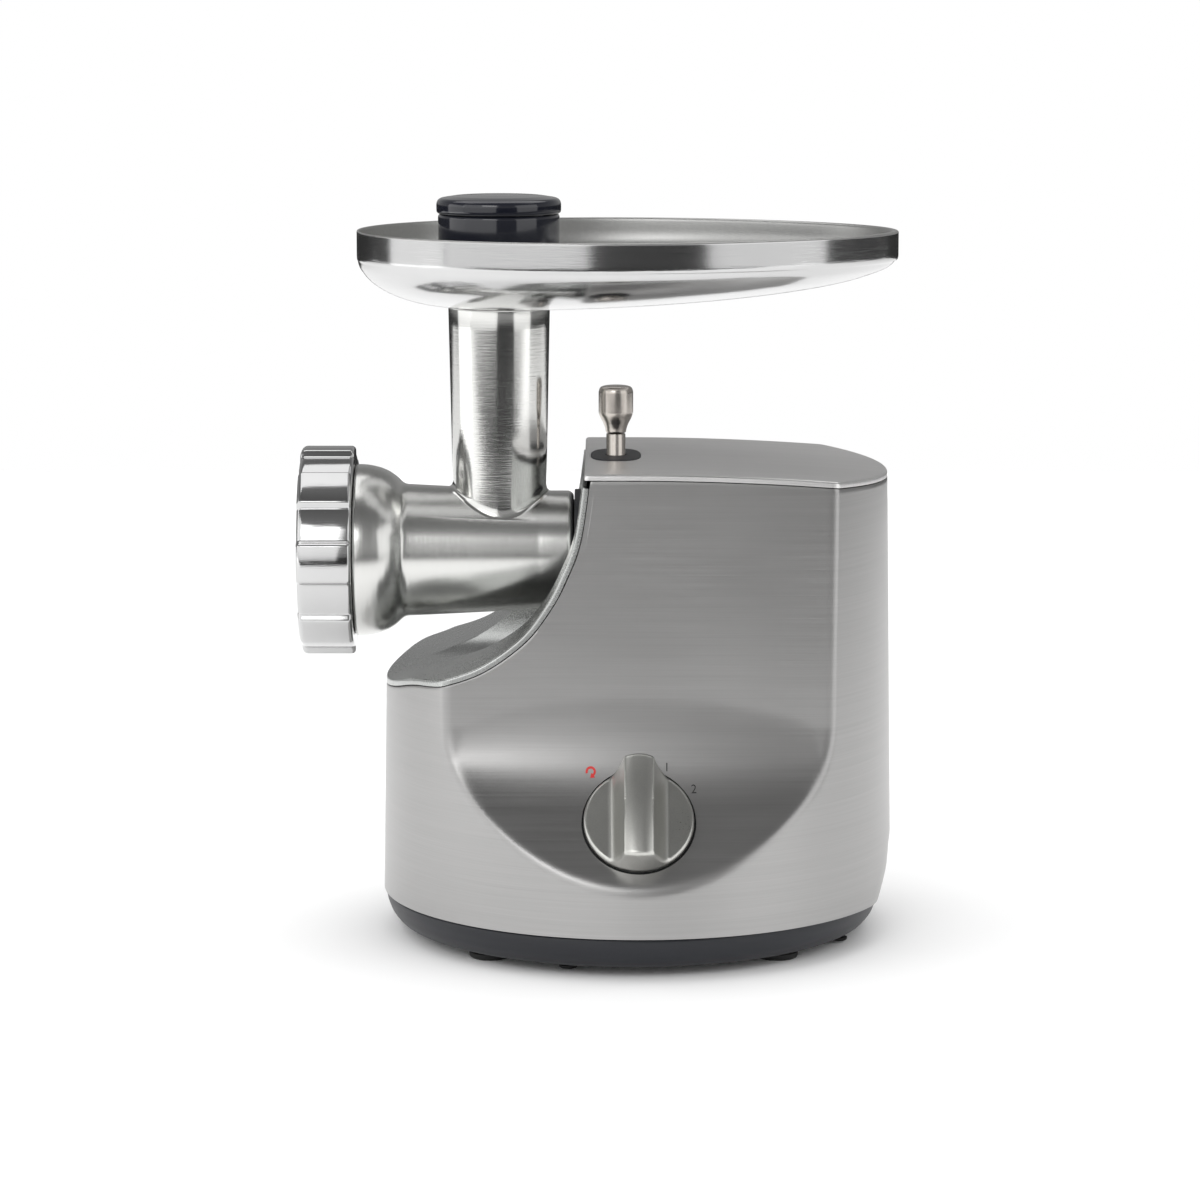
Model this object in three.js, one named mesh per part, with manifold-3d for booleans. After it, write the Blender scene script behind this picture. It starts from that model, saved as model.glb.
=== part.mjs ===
// Electric meat grinder with a No. 8 grinding head, built as separate pieces.
// Millimetres, +Z up. The head points along -X and the control knob faces -Y.
import * as THREE from 'three';
import { mergeVertices } from 'three/addons/utils/BufferGeometryUtils.js';
import Module from 'manifold-3d';

const wasm = await Module();
wasm.setup();

// driving dimensions
const gap = 0.3;
const wall = 2.6;
const groundShift = { x: 17.2, y: 5 }; // puts the origin under the middle of the whole object
const housing = { bottom: 18.3, top: 210.7, radiusLow: 113, radiusHigh: 109.5, depthScale: 1.014 };
const facet = { topY: 71, slopeZ: 88, lowY: 75.6, panelFootY: 113.5, panelFootZ: 40, cove: 20 };
const dome = { from: -4.6, drop: 0.000408 };
const saddleCorner = { x: -23.3 };
const barrel = { z: 168.5, bore: 24, front: -141, shoulder: -32, spigotEnd: -3, spigotRadius: 22 };
const trough = { radius: 47.5, end: -26 };
const tube = {
  x: -61, topRadius: 22.3, lowRadius: 20.6, top: 276.6, bore: 18.2, socket: 20, socketFloor: 262,
};
const tray = { left: -123.2, right: 114, halfWidth: 87, rim: 310, wallFoot: 296, floor: 277, skin: 2.4 };
const nut = { front: -148.4, back: -124.7, radius: 46, lobes: 8, mouth: 28 };
const plate = { radius: 31, front: -142.4, back: -136.4, hole: 4, pitch: 10.4 };
const pin = { x: -9.7, radius: 4.2, headRadius: 7.6, tip: 186.6, top: 241.8 };
const knob = { y: -93.5, z: 64, lean: 38, radius: 23.5, dish: 4.6, height: 25 };
const gears = {
  first: { module: 1, pinion: 9, wheel: 72, x: 29, width: 7 },
  second: { module: 1.5, pinion: 10, wheel: 42, x: 14, width: 12 },
};
const motor = { front: 52, back: 82, radius: 33, bore: 21, shaft: 4, end: 98 };
const gearbox = { front: 2, split: 40, back: 44, halfWidth: 41, low: 77, high: 205.6 };
const pan = { x: -2.3, radius: 109.6, depthScale: 1.034, low: 3, high: 18 };

const layZ = barrel.z - gears.second.module * (gears.second.pinion + gears.second.wheel) / 2;
const motorZ = layZ - gears.first.module * (gears.first.pinion + gears.first.wheel) / 2;

// finishes
const finish = (color, roughness, metalness) =>
  new THREE.MeshStandardMaterial({ color, roughness, metalness });
const finishes = {
  brushedSteel: finish(0xb4b4ae, 0.4, 1),
  castAluminium: finish(0xc8c8c4, 0.22, 1),
  chrome: finish(0xd8d8d8, 0.08, 1),
  satinNickel: finish(0x9a928a, 0.3, 1),
  darkPlastic: finish(0x2c3038, 0.35, 0),
  knobSilver: finish(0xb0b0ac, 0.38, 0.6),
  rubber: finish(0x151515, 0.85, 0),
  steel: finish(0x8c8f92, 0.35, 1),
  gearNylon: finish(0xd8d4c4, 0.5, 0),
  castAlloy: finish(0x8e9092, 0.55, 1),
  copper: finish(0xb0683c, 0.4, 1),
  iron: finish(0x55565a, 0.6, 1),
  brass: finish(0xb99a52, 0.3, 1),
  board: finish(0x2f5a3a, 0.6, 0),
};

// a closed solid from any three.js geometry, with its faces turned outwards
function solidOf(source) {
  const geometry = source.clone();
  geometry.deleteAttribute('normal');
  geometry.deleteAttribute('uv');
  const merged = mergeVertices(geometry, 1e-4);
  const place = merged.getAttribute('position');
  const corners = merged.getIndex().array;
  const kept = [];
  const points = [new THREE.Vector3(), new THREE.Vector3(), new THREE.Vector3()];
  let volume = 0;
  for (let i = 0; i < corners.length; i += 3) {
    const [a, b, c] = [corners[i], corners[i + 1], corners[i + 2]];
    if (a === b || b === c || c === a) continue;
    kept.push([a, b, c]);
    [a, b, c].forEach((corner, k) => points[k].fromBufferAttribute(place, corner));
    volume += points[0].dot(points[1].clone().cross(points[2]));
  }
  const triVerts = new Uint32Array((volume > 0 ? kept : kept.map(([a, b, c]) => [a, c, b])).flat());
  const vertProperties = new Float32Array(place.array);
  return new wasm.Manifold(new wasm.Mesh({ numProp: 3, vertProperties, triVerts }));
}

function geometryOf(solid) {
  const mesh = solid.getMesh();
  const geometry = new THREE.BufferGeometry();
  geometry.setAttribute('position', new THREE.BufferAttribute(new Float32Array(mesh.vertProperties), 3));
  geometry.setIndex(new THREE.BufferAttribute(new Uint32Array(mesh.triVerts), 1));
  return geometry;
}

const joined = (...solids) => solids.reduce((sum, solid) => sum.add(solid));
const cutBy = (solid, ...cutters) => cutters.reduce((rest, cutter) => rest.subtract(cutter), solid);

// directions that a shape's own x, y and z take in the object
const facing = {
  front: new THREE.Matrix4().makeBasis(
    new THREE.Vector3(1, 0, 0), new THREE.Vector3(0, 0, 1), new THREE.Vector3(0, -1, 0)),
  side: new THREE.Matrix4().makeBasis(
    new THREE.Vector3(0, 1, 0), new THREE.Vector3(0, 0, 1), new THREE.Vector3(1, 0, 0)),
};

const shapeOf = (points) => new THREE.Shape(points.map(([a, b]) => new THREE.Vector2(a, b)));

// outline in X and Z, carried along Y from y0 to y1
function sweptAcross(points, y0, y1) {
  const geometry = new THREE.ExtrudeGeometry(shapeOf(points), { depth: y1 - y0, bevelEnabled: false });
  return solidOf(geometry.applyMatrix4(facing.front).translate(0, y1, 0));
}

// outline in Y and Z, carried along X from x0 to x1
function sweptAlong(shape, x0, x1, curveSegments = 8) {
  const options = { depth: x1 - x0, bevelEnabled: false, curveSegments };
  const geometry = new THREE.ExtrudeGeometry(shape, options);
  return solidOf(geometry.applyMatrix4(facing.side).translate(x0, 0, 0));
}

// outline in X and Y, carried up from z0 to z1
function raised(shape, z0, z1, curveSegments = 8) {
  const geometry = new THREE.ExtrudeGeometry(shape, { depth: z1 - z0, bevelEnabled: false, curveSegments });
  return solidOf(geometry.translate(0, 0, z0));
}

// [radius, place along the axis] pairs turned about an upright axis
function turnedGeometry(profile, segments = 28) {
  const points = profile.map(([radius, along]) => new THREE.Vector2(radius, along));
  const first = points[0];
  const last = points[points.length - 1];
  if (first.x > 0 || last.x > 0) points.push(first.clone());
  return new THREE.LatheGeometry(points, segments).rotateX(Math.PI / 2);
}

const turned = (profile, x = 0, y = 0, segments = 28) =>
  solidOf(turnedGeometry(profile, segments).translate(x, y, 0));

// the same about an axis along X at height z
function turnedLong(profile, z = barrel.z, segments = 28) {
  const points = profile.map(([radius, along]) => new THREE.Vector2(radius, along));
  if (points[0].x > 0 || points[points.length - 1].x > 0) points.push(points[0].clone());
  const geometry = new THREE.LatheGeometry(points, segments).rotateZ(-Math.PI / 2);
  return solidOf(geometry.translate(0, 0, z));
}

const rod = (radius, x0, x1, z = barrel.z, segments = 20) =>
  turnedLong([[0, x0], [radius, x0], [radius, x1], [0, x1]], z, segments);
const post = (radius, z0, z1, x, y, segments = 16) =>
  turned([[0, z0], [radius, z0], [radius, z1], [0, z1]], x, y, segments);
const longRing = (inner, outer, x0, x1, z = barrel.z, segments = 20) =>
  turnedLong([[inner, x0], [outer, x0], [outer, x1], [inner, x1]], z, segments);
const block = (sizeX, sizeY, sizeZ, x, y, z) =>
  solidOf(new THREE.BoxGeometry(sizeX, sizeY, sizeZ).translate(x, y, z));

// points along a round arc, angles in degrees
function arc(centreA, centreB, radius, from, to, steps) {
  return Array.from({ length: steps + 1 }, (_, i) => {
    const angle = THREE.MathUtils.degToRad(from + (to - from) * i / steps);
    return [centreA + radius * Math.cos(angle), centreB + radius * Math.sin(angle)];
  });
}

// a line of points moved sideways, to its right-hand side when depth is positive
function offsetLine(points, depth) {
  return points.map((point, i) => {
    const before = points[Math.max(i - 1, 0)];
    const after = points[Math.min(i + 1, points.length - 1)];
    const along = new THREE.Vector2(after[0] - before[0], after[1] - before[1]).normalize();
    return [point[0] + along.y * depth, point[1] - along.x * depth];
  });
}

// the housing: a round upright body, cut by the saddle and the domed top, and by one facet on each face
const topHeight = (x) => housing.top - dome.drop * Math.max(x - dome.from, 0) ** 2;
const topLine = Array.from({ length: 11 }, (_, i) => {
  const x = saddleCorner.x + 15 * i;
  return [x, topHeight(x)];
});
const saddlePoints = [[-118, 110.2], [-109.8, 114.4], [-101.5, 118.6], [-96, 120.4], [-84.5, 122.4],
  [-67.5, 128.4], [-50.5, 140.6], [-40, 154], [-33.5, 166.2], [-27.3, 183]];
const saddleLine = [
  ...saddlePoints.slice(0, 3),
  ...new THREE.SplineCurve([...saddlePoints.slice(2), [saddleCorner.x, housing.top]]
    .map(([x, z]) => new THREE.Vector2(x, z))).getPoints(20).slice(1).map((p) => [p.x, p.y]),
];

function housingOutline(depth) {
  const saddle = offsetLine(saddleLine, depth).slice(0, -1);
  const top = offsetLine(topLine, depth);
  const corner = [saddleCorner.x + depth, topHeight(0) - depth];
  const foot = [[114.6, 40], [112.2, 30], [106.6, housing.bottom], [106, 10]].map(([x, z]) => [x - depth, z]);
  return [[-130, 10], [-130, 91.5 - depth], ...saddle, corner, ...top.slice(1, -1), [130, top.at(-1)[1]],
    [130, 60], ...foot];
}

function facetOutline(depth) {
  const run = facet.panelFootY - facet.lowY;
  const panel = new THREE.Vector2(run, facet.panelFootZ - facet.slopeZ).normalize();
  const lean = new THREE.Vector2(facet.topY - facet.lowY, housing.top - facet.slopeZ).normalize();
  const knee = new THREE.Vector2(facet.lowY, facet.slopeZ);
  const cove = new THREE.QuadraticBezierCurve(
    knee.clone().addScaledVector(lean, facet.cove), knee, knee.clone().addScaledVector(panel, facet.cove));
  const line = [[facet.topY - 1, 230], ...cove.getPoints(6).map((p) => [p.x, p.y]),
    [facet.panelFootY + panel.x * 50, facet.panelFootZ + panel.y * 50]];
  const moved = offsetLine(line, depth);
  return [...moved, [170, 0], [170, 230]];
}

function housingSolid(depth) {
  const low = housing.bottom - (depth > 0 ? 5 : 0);
  const round = turnedGeometry([[0, low], [housing.radiusLow - depth, low],
    [housing.radiusHigh - depth, 230], [0, 230]], 56).scale(1, housing.depthScale, 1);
  const facetNear = sweptAlong(shapeOf(facetOutline(depth).map(([y, z]) => [-y, z])), -150, 150);
  const facetFar = sweptAlong(shapeOf(facetOutline(depth)), -150, 150);
  const cradle = rod(trough.radius + depth, -150, trough.end + depth, barrel.z, 40);
  const blank = solidOf(round).intersect(sweptAcross(housingOutline(depth), -140, 140));
  return cutBy(blank, facetNear, facetFar, cradle);
}

const bandBelow = (line, depth) =>
  sweptAcross([...offsetLine(line, -8), ...offsetLine(line, depth).reverse()], -140, 140);
const shell = housingSolid(0).subtract(housingSolid(wall));
const topZone = (depth) => {
  const under = offsetLine(topLine, depth).map(([x, z], i) => [i === 0 ? x - 8 : x, z]);
  return sweptAcross([[saddleCorner.x - 8, 230], ...under, [140, 230]], -140, 140);
};
const cradleZone = (depth) => joined(
  bandBelow(saddleLine, depth), rod(trough.radius + depth, -150, trough.end + depth, barrel.z, 40));

// the panel's own frame: z along the outward normal of the sloped panel at the knob
const panelTurn = new THREE.Matrix4().makeRotationX(THREE.MathUtils.degToRad(90 - knob.lean));
const onPanel = (geometry) => geometry.applyMatrix4(panelTurn).translate(0, knob.y, knob.z);
const panelTurned = (profile, segments = 32) => solidOf(onPanel(turnedGeometry(profile, segments)));

const parts = [];
function addPart(name, material, solid, place = [0, 0, 0]) {
  const mesh = new THREE.Mesh(geometryOf(solid), finishes[material].clone());
  mesh.name = name;
  mesh.position.set(...place);
  parts.push(mesh);
}

function buildHousing() {
  const knobRecess = panelTurned([[0, -1.2], [knob.radius + 0.9, -1.2], [knob.radius + 0.9, 12], [0, 12]]);
  const spindleHole = panelTurned([[0, -12], [5.5, -12], [5.5, 12], [0, 12]], 16);
  const glandHole = solidOf(glandGeometry([[0, -12], [8.3, -12], [8.3, 12], [0, 12]]));
  const walls = cutBy(shell, topZone(wall + gap), cradleZone(wall + gap));
  const half = (side) => block(300, 150, 260, 0, side * (75 + gap / 2), 110);
  addPart('housing_front', 'brushedSteel', cutBy(walls.intersect(half(-1)), knobRecess, spindleHole));
  addPart('housing_rear', 'brushedSteel', walls.intersect(half(1)).subtract(glandHole));
  const trimHole = raised(trimShape(gap), 200, 220, 12);
  addPart('top_cover', 'brushedSteel', shell.intersect(topZone(wall)).subtract(trimHole));
  const collarHole = rod(27.4, -60, 0);
  const cradle = shell.intersect(cradleZone(wall));
  addPart('saddle_cover', 'brushedSteel', cutBy(cradle, topZone(wall + gap), collarHole));
}

function trimShape(grow) {
  const shape = new THREE.Shape();
  shape.absellipse(pin.x, 0, 11 + grow, 22.5 + grow, 0, Math.PI * 2, false, 0);
  return shape;
}

const gland = { x: 62, y: 96, z: 31 };
function glandGeometry(profile) {
  const outward = Math.atan2(gland.y, gland.x) - Math.PI / 2;
  const geometry = turnedGeometry(profile, 16).rotateX(-Math.PI / 2).rotateZ(outward);
  return geometry.translate(gland.x, gland.y, gland.z);
}

function buildBase() {
  const profile = [[0, pan.low], [97, pan.low], [104, 5], [107.4, 9], [pan.radius, 15],
    [pan.radius, pan.high], [106.5, pan.high], [104, 10], [96, 6.4], [0, 6.4]];
  const dish = solidOf(turnedGeometry(profile, 40).scale(1, pan.depthScale, 1).translate(pan.x, 0, 0));
  const slots = Array.from({ length: 7 }, (_, i) => block(34, 3, 10, 62, (i - 3) * 9, 5));
  const feet = [[-64, -67], [60, -67], [-64, 67], [60, 67]];
  const screws = [[-84, 0], [88, -40], [-30, -92], [-30, 92]];
  const holes = screws.map(([x, y]) => post(2.4, 0, 12, x, y, 10));
  const buttonHole = post(4.5, 0, 12, 20, -42);
  addPart('base_pan', 'darkPlastic', cutBy(dish, ...slots, ...holes, buttonHole));
  feet.forEach(([x, y], i) => {
    const outline = [[0, 0], [8.4, 0], [9.2, 0.8], [9.2, pan.low - gap], [0, pan.low - gap]];
    addPart(`foot_${i + 1}`, 'rubber', turned(outline, x, y, 12));
  });
  screws.forEach(([x, y], i) => {
    const outline = [[0, 1.2], [4, 1.2], [4, pan.low - gap], [2, pan.low - gap], [2, 15], [0, 15]];
    const screw = turned(outline, x, y, 10);
    addPart(`base_screw_${i + 1}`, 'steel', screw.subtract(block(6, 1, 0.8, x, y, 1.3)));
  });
  const button = turned([[0, 1.3], [4, 1.3], [4, 9], [6, 9], [6, 10.5], [0, 10.5]], 20, -42, 16);
  addPart('reset_button', 'rubber', button);
  const breaker = block(26, 16, 24, 20, -42, 24.5).subtract(post(6.6, 0, 15, 20, -42));
  addPart('circuit_breaker', 'darkPlastic', breaker);
  const glandProfile = [[3.6, -9], [8, -9], [8, 0.6], [10.5, 0.6], [10.5, 3], [6.5, 6], [3.6, 6]];
  addPart('cord_gland', 'rubber', solidOf(glandGeometry(glandProfile)));
  const relays = [block(16, 12, 14, -60, 26.9, 40), block(12, 10, 18, -34, 26.6, 48)];
  addPart('control_board', 'board', joined(block(64, 1.6, 46, -48, 32, 46), ...relays));
}

// coil of round wire about an upright axis
class CoilCurve extends THREE.Curve {
  getPoint(t) {
    const angle = 2 * Math.PI * 4 * t;
    return new THREE.Vector3(pin.x + 6.2 * Math.cos(angle), 6.2 * Math.sin(angle), 194 + 13 * t);
  }
}

function buildRelease() {
  const trim = raised(trimShape(0), housing.top - wall + gap, housing.top + 0.4, 12);
  addPart('pin_trim', 'darkPlastic', trim.subtract(post(pin.radius + 0.5, 200, 220, pin.x, 0)));
  const neck = pin.top - 21.2;
  const head = [[0, neck - 4], [2.2, neck - 4], [2.2, neck], [4.4, neck], [5.1, neck + 3], [6.5, neck + 6],
    [pin.headRadius, neck + 8.4], [pin.headRadius, pin.top - 2.4], [6.6, pin.top - 1.2], [0, pin.top]];
  const socket = [[0, neck - 9], [2.6, neck - 9], [2.6, neck + 4], [0, neck + 4]];
  const shaft = [[0, pin.tip], [3.2, pin.tip], [pin.radius, pin.tip + 1.4], [pin.radius, 191.4],
    [7.4, 191.4], [7.4, 193], [pin.radius, 193], [pin.radius, neck - gap], [0, neck - gap]];
  addPart('release_knob', 'satinNickel', turned(head, pin.x, 0, 24));
  addPart('release_pin', 'steel', cutBy(turned(shaft, pin.x, 0, 16), turned(socket, pin.x, 0, 12)));
  const wire = new THREE.Shape();
  wire.absarc(0, 0, 0.45, 0, Math.PI * 2, false);
  const coil = new THREE.ExtrudeGeometry(wire,
    { steps: 40, curveSegments: 2, bevelEnabled: false, extrudePath: new CoilCurve() });
  addPart('pin_spring', 'steel', solidOf(coil));
  const inner = barrel.spigotRadius + gap;
  const [from, to] = [barrel.shoulder + gap, gearbox.front - gap];
  const collarProfile = [[inner, from], [27, from], [27, -4], [33, -4], [33, to], [inner, to]];
  addPart('outlet_collar', 'darkPlastic', turnedLong(collarProfile).subtract(post(8.6, 180, 215, pin.x, 0)));
}

function buildControls() {
  const { radius, dish, height } = knob;
  const disc = panelTurned(
    [[0, -0.9], [radius, -0.9], [radius, dish - 2], [radius - 1.6, dish], [0, dish + 0.6]]);
  const barOutline = shapeOf([[-6.5, -radius + 1], [6.5, -radius + 1], [6.5, radius - 2], [4, radius],
    [-4, radius], [-6.5, radius - 2]]);
  const bar = new THREE.ExtrudeGeometry(barOutline, { depth: height, bevelEnabled: false });
  const crown = panelTurned([[0, 0], [radius, 0], [radius, height - 4], [radius - 5, height], [0, height]]);
  const grip = solidOf(onPanel(bar)).intersect(crown);
  const socket = panelTurned([[0, -2], [4.3, -2], [4.3, 12], [0, 12]], 12);
  addPart('control_knob', 'knobSilver', joined(disc, grip).subtract(socket));
  addPart('knob_spindle', 'steel', panelTurned([[0, -21], [4, -21], [4, 11.6], [0, 11.6]], 12));
  const switchProfile = [[4.4, -4.4], [17, -4.4], [19, -7], [19, -24], [3, -24], [3, -22], [4.4, -22]];
  addPart('rotary_switch', 'darkPlastic', panelTurned(switchProfile, 16));
}

function boxedOutline(inset) {
  const half = gearbox.halfWidth - inset;
  const corner = 12 - inset;
  const [low, high] = [gearbox.low + inset, gearbox.high - inset];
  return shapeOf([...arc(half - corner, high - corner, corner, 0, 90, 4),
    ...arc(corner - half, high - corner, corner, 90, 180, 4),
    ...arc(corner - half, low + corner, corner, 180, 270, 4),
    ...arc(half - corner, low + corner, corner, 270, 360, 4)]);
}

// a spur gear outline about its own axis, with a tooth or a gap straight up
function gearShape(module, teeth, startWithGap) {
  const pitchRadius = module * teeth / 2;
  const step = 2 * Math.PI / teeth;
  const start = Math.PI / 2 + (startWithGap ? step / 2 : 0);
  const points = [];
  for (let i = 0; i < teeth; i += 1) {
    const middle = start + i * step;
    for (const [turn, radius] of [[-0.3, -1.15], [-0.12, 0.85], [0.12, 0.85], [0.3, -1.15]]) {
      const angle = middle + turn * step;
      const reach = pitchRadius + radius * module;
      points.push([reach * Math.cos(angle), reach * Math.sin(angle)]);
    }
  }
  return points;
}

function spurGear(stage, teeth, z, startWithGap, boreRadius) {
  const outline = gearShape(stage.module, teeth, startWithGap).map(([y, up]) => [y, up + z]);
  return sweptAlong(shapeOf(outline), stage.x, stage.x + stage.width)
    .subtract(rod(boreRadius, stage.x - 5, stage.x + stage.width + 5, z, 16));
}

function hexRod(radius, x0, x1) {
  return sweptAlong(shapeOf(arc(0, barrel.z, radius, 0, 300, 5)), x0, x1);
}

function buildDrive() {
  const { first, second } = gears;
  const box = cutBy(sweptAlong(boxedOutline(0), gearbox.front, gearbox.split - gap),
    sweptAlong(boxedOutline(3), gearbox.front + 4, gearbox.split + 5), rod(18, -5, 10),
    rod(4.3, -5, 10, layZ));
  addPart('gearbox_case', 'castAlloy', box);
  const lid = cutBy(sweptAlong(boxedOutline(0), gearbox.split, gearbox.back), rod(11, 30, 50, motorZ),
    rod(4.3, 30, 50, layZ));
  addPart('gearbox_cover', 'castAlloy', lid);
  addPart('output_bearing', 'steel', longRing(12.3, 17.7, gearbox.front, gearbox.front + 6));
  const hub = joined(rod(12, -1.5, second.x - gap), rod(8, 5, second.x + second.width));
  addPart('output_hub', 'steel', hub.subtract(hexRod(8.1, -5, 11)));
  addPart('output_gear', 'steel', spurGear(second, second.wheel, barrel.z, true, 8.3));
  addPart('layshaft', 'steel', rod(4, gearbox.front + 0.4, gearbox.back - 0.4, layZ, 16));
  addPart('layshaft_pinion', 'steel', spurGear(second, second.pinion, layZ, false, 4.3));
  addPart('layshaft_gear', 'gearNylon', spurGear(first, first.wheel, layZ, true, 4.3));
  addPart('motor_pinion', 'steel', spurGear(first, first.pinion, motorZ, false, 2.8));
}

function buildMotor() {
  const along = (profile, segments) => turnedLong(profile, motorZ, segments);
  const { front, back, radius, bore, shaft, end } = motor;
  const { first } = gears;
  const stack = along([[bore, front], [radius, front], [radius, back], [bore, back]], 28);
  addPart('motor_stator', 'iron', stack);
  [-1, 1].forEach((side, i) => {
    const ends = side > 0 ? [-75, 75] : [105, 255];
    const outline = shapeOf([...arc(0, motorZ, 29.5, ends[0], ends[1], 12),
      ...arc(0, motorZ, 23, ends[1], ends[0], 12)]);
    addPart(`field_coil_${i + 1}`, 'copper', sweptAlong(outline, back + gap, back + 4));
  });
  const core = gearShape(3, 12, false).map(([y, z]) => [y * 0.98, z * 0.98 + motorZ]);
  const rotor = sweptAlong(shapeOf(core), front + 1, back - 1);
  addPart('rotor', 'iron', rotor.subtract(rod(shaft + gap, 40, 90, motorZ, 16)));
  const spindle = [[0, first.x - 1], [2.5, first.x - 1], [2.5, first.x + first.width + 1.2],
    [shaft, first.x + first.width + 1.2], [shaft, end - 0.5], [0, end - 0.5]];
  addPart('motor_shaft', 'steel', along(spindle, 16));
  addPart('commutator', 'copper', longRing(shaft + gap, 10, back + 2, back + 10, motorZ));
  const blades = Array.from({ length: 7 }, (_, i) => {
    const blade = new THREE.BoxGeometry(4.4, 1.4, 17).translate(47.9, 0, 18.5).rotateX(2 * Math.PI * i / 7);
    return solidOf(blade.translate(0, 0, motorZ));
  });
  addPart('cooling_fan', 'gearNylon', joined(longRing(shaft + gap, 12, 45.4, 50.2, motorZ),
    longRing(10, 27.5, 49, 50.2, motorZ), ...blades));
  addPart('front_bearing', 'steel', longRing(shaft + gap, 10.7, gearbox.split, gearbox.back, motorZ));
  addPart('rear_bearing', 'steel', longRing(shaft + gap, 10.7, end - 5, end, motorZ));
  addPart('motor_end_frame', 'castAlloy', along([[11, end - 5], [30, end - 5], [30, back + gap],
    [radius, back + gap], [radius, end - 1], [11, end - 1]], 28));
  [-1, 1].forEach((side, i) => {
    const holder = block(4.4, 17, 8, back + 7.2, side * (10.4 + 8.5), motorZ);
    addPart(`brush_holder_${i + 1}`, 'brass', holder);
  });
}

function buildHead() {
  const { z, bore, front, shoulder, spigotEnd, spigotRadius } = barrel;
  const body = turnedLong([[0, front], [36.4, front], [36.4, nut.back], [37.9, nut.back + gap],
    [37.9, -118], [36.6, -113], [33.4, -108], [30.2, -104.4], [29.3, -102.8], [26.3, -43.7],
    [26.3, shoulder - 2], [24.8, shoulder], [spigotRadius, shoulder], [spigotRadius, spigotEnd],
    [0, spigotEnd]], z, 32);
  const chimney = turned([[0, z], [tube.lowRadius, z], [tube.lowRadius, 195],
    [tube.topRadius, tube.top], [0, tube.top]], tube.x, 0);
  const flue = turned([[0, z], [tube.bore, z], [tube.bore, tube.socketFloor],
    [tube.socket, tube.socketFloor], [tube.socket, 290], [0, 290]], tube.x, 0);
  const cavity = turnedLong([[0, front - 5], [plate.radius + gap, front - 5], [plate.radius + gap, -128],
    [bore, -128], [bore, shoulder - 4], [9.5, shoulder - 4], [9.5, 5], [0, 5]], z, 32);
  const notch = post(pin.radius + 0.5, 185.6, 200, pin.x, 0);
  addPart('head_casting', 'castAluminium', cutBy(joined(body, chimney), flue, cavity, notch));
  addPart('scroll_bush', 'gearNylon', longRing(8.3, 9.2, shoulder - 3.7, shoulder + 12));
}

function buildScroll() {
  const { z, bore, shoulder } = barrel;
  const flight = bore - 0.8;
  const edgeTurn = 0.12;
  const tip = [-edgeTurn, 0, edgeTurn].map((turn) => [flight * Math.cos(turn), flight * Math.sin(turn)]);
  const section = [...arc(0, 0, 9, 32, 328, 9), [15, -3.6], ...tip, [15, 3.6]];
  const [from, to, turns] = [-127.4, shoulder - 4.6, 2.6];
  const geometry = new THREE.ExtrudeGeometry(shapeOf(section),
    { depth: to - from, steps: 32, bevelEnabled: false });
  const place = geometry.getAttribute('position');
  for (let i = 0; i < place.count; i += 1) {
    const along = place.getZ(i);
    const angle = 2 * Math.PI * turns * along / (to - from);
    const [a, b] = [place.getX(i), place.getY(i)];
    place.setXY(i, a * Math.cos(angle) - b * Math.sin(angle), a * Math.sin(angle) + b * Math.cos(angle));
  }
  const screw = solidOf(geometry.applyMatrix4(facing.side).translate(from, 0, z));
  const tail = joined(rod(8, to - 2, -2), hexRod(7.6, -3, 10));
  const square = block(10, 9.6, 9.6, -130, 0, z);
  const nose = rod(4.4, -142, -126);
  addPart('scroll', 'castAluminium', joined(screw, tail, square, nose));
  const arms = [0, 90].map((angle) => {
    const bar = new THREE.BoxGeometry(5, 11, 58).rotateX(THREE.MathUtils.degToRad(angle + 20));
    return solidOf(bar.translate(-133.6, 0, z));
  });
  const blade = cutBy(joined(rod(13, -136.1, -131.1), ...arms), block(20, 10.2, 10.2, -133, 0, z));
  addPart('cutter', 'steel', blade);
}

function buildFront() {
  const rings = [[0, 1], [plate.pitch, 6], [plate.pitch * 2, 12]];
  const centres = rings.flatMap(([radius, count]) =>
    arc(0, barrel.z, radius, 0, 360, count).slice(0, count));
  const outline = shapeOf(arc(0, barrel.z, plate.radius, 0, 351, 39));
  centres.forEach(([y, z], i) => {
    const hole = new THREE.Path();
    hole.absarc(y, z, i === 0 ? 4.8 : plate.hole, 0, Math.PI * 2, true);
    outline.holes.push(hole);
  });
  addPart('screen', 'steel', sweptAlong(outline, plate.front, plate.back, 4));
  const tabHalf = 11;
  const lobes = Array.from({ length: nut.lobes }, (_, i) => {
    const middle = 360 * i / nut.lobes;
    return [...arc(0, barrel.z, nut.radius - 2.6, middle - 22.5, middle - tabHalf - 2.5, 2),
      ...arc(0, barrel.z, nut.radius, middle - tabHalf, middle + tabHalf, 3),
      ...arc(0, barrel.z, nut.radius - 2.6, middle + tabHalf + 2.5, middle + 22.5, 2).slice(0, -1)];
  }).flat();
  const rim = sweptAlong(shapeOf(lobes), nut.front, nut.back);
  const rounded = turnedLong([[0, nut.front], [43, nut.front], [nut.radius, nut.front + 2.4],
    [nut.radius, nut.back - 1.6], [nut.radius - 1.6, nut.back], [0, nut.back]], barrel.z, 48);
  const inside = turnedLong([[0, -160], [nut.mouth + 4, -160], [nut.mouth, nut.front + 4],
    [nut.mouth, plate.front - gap], [36.8, plate.front - gap], [36.8, -110], [0, -110]], barrel.z, 36);
  addPart('ring_nut', 'chrome', rim.intersect(rounded).subtract(inside));
}

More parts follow.
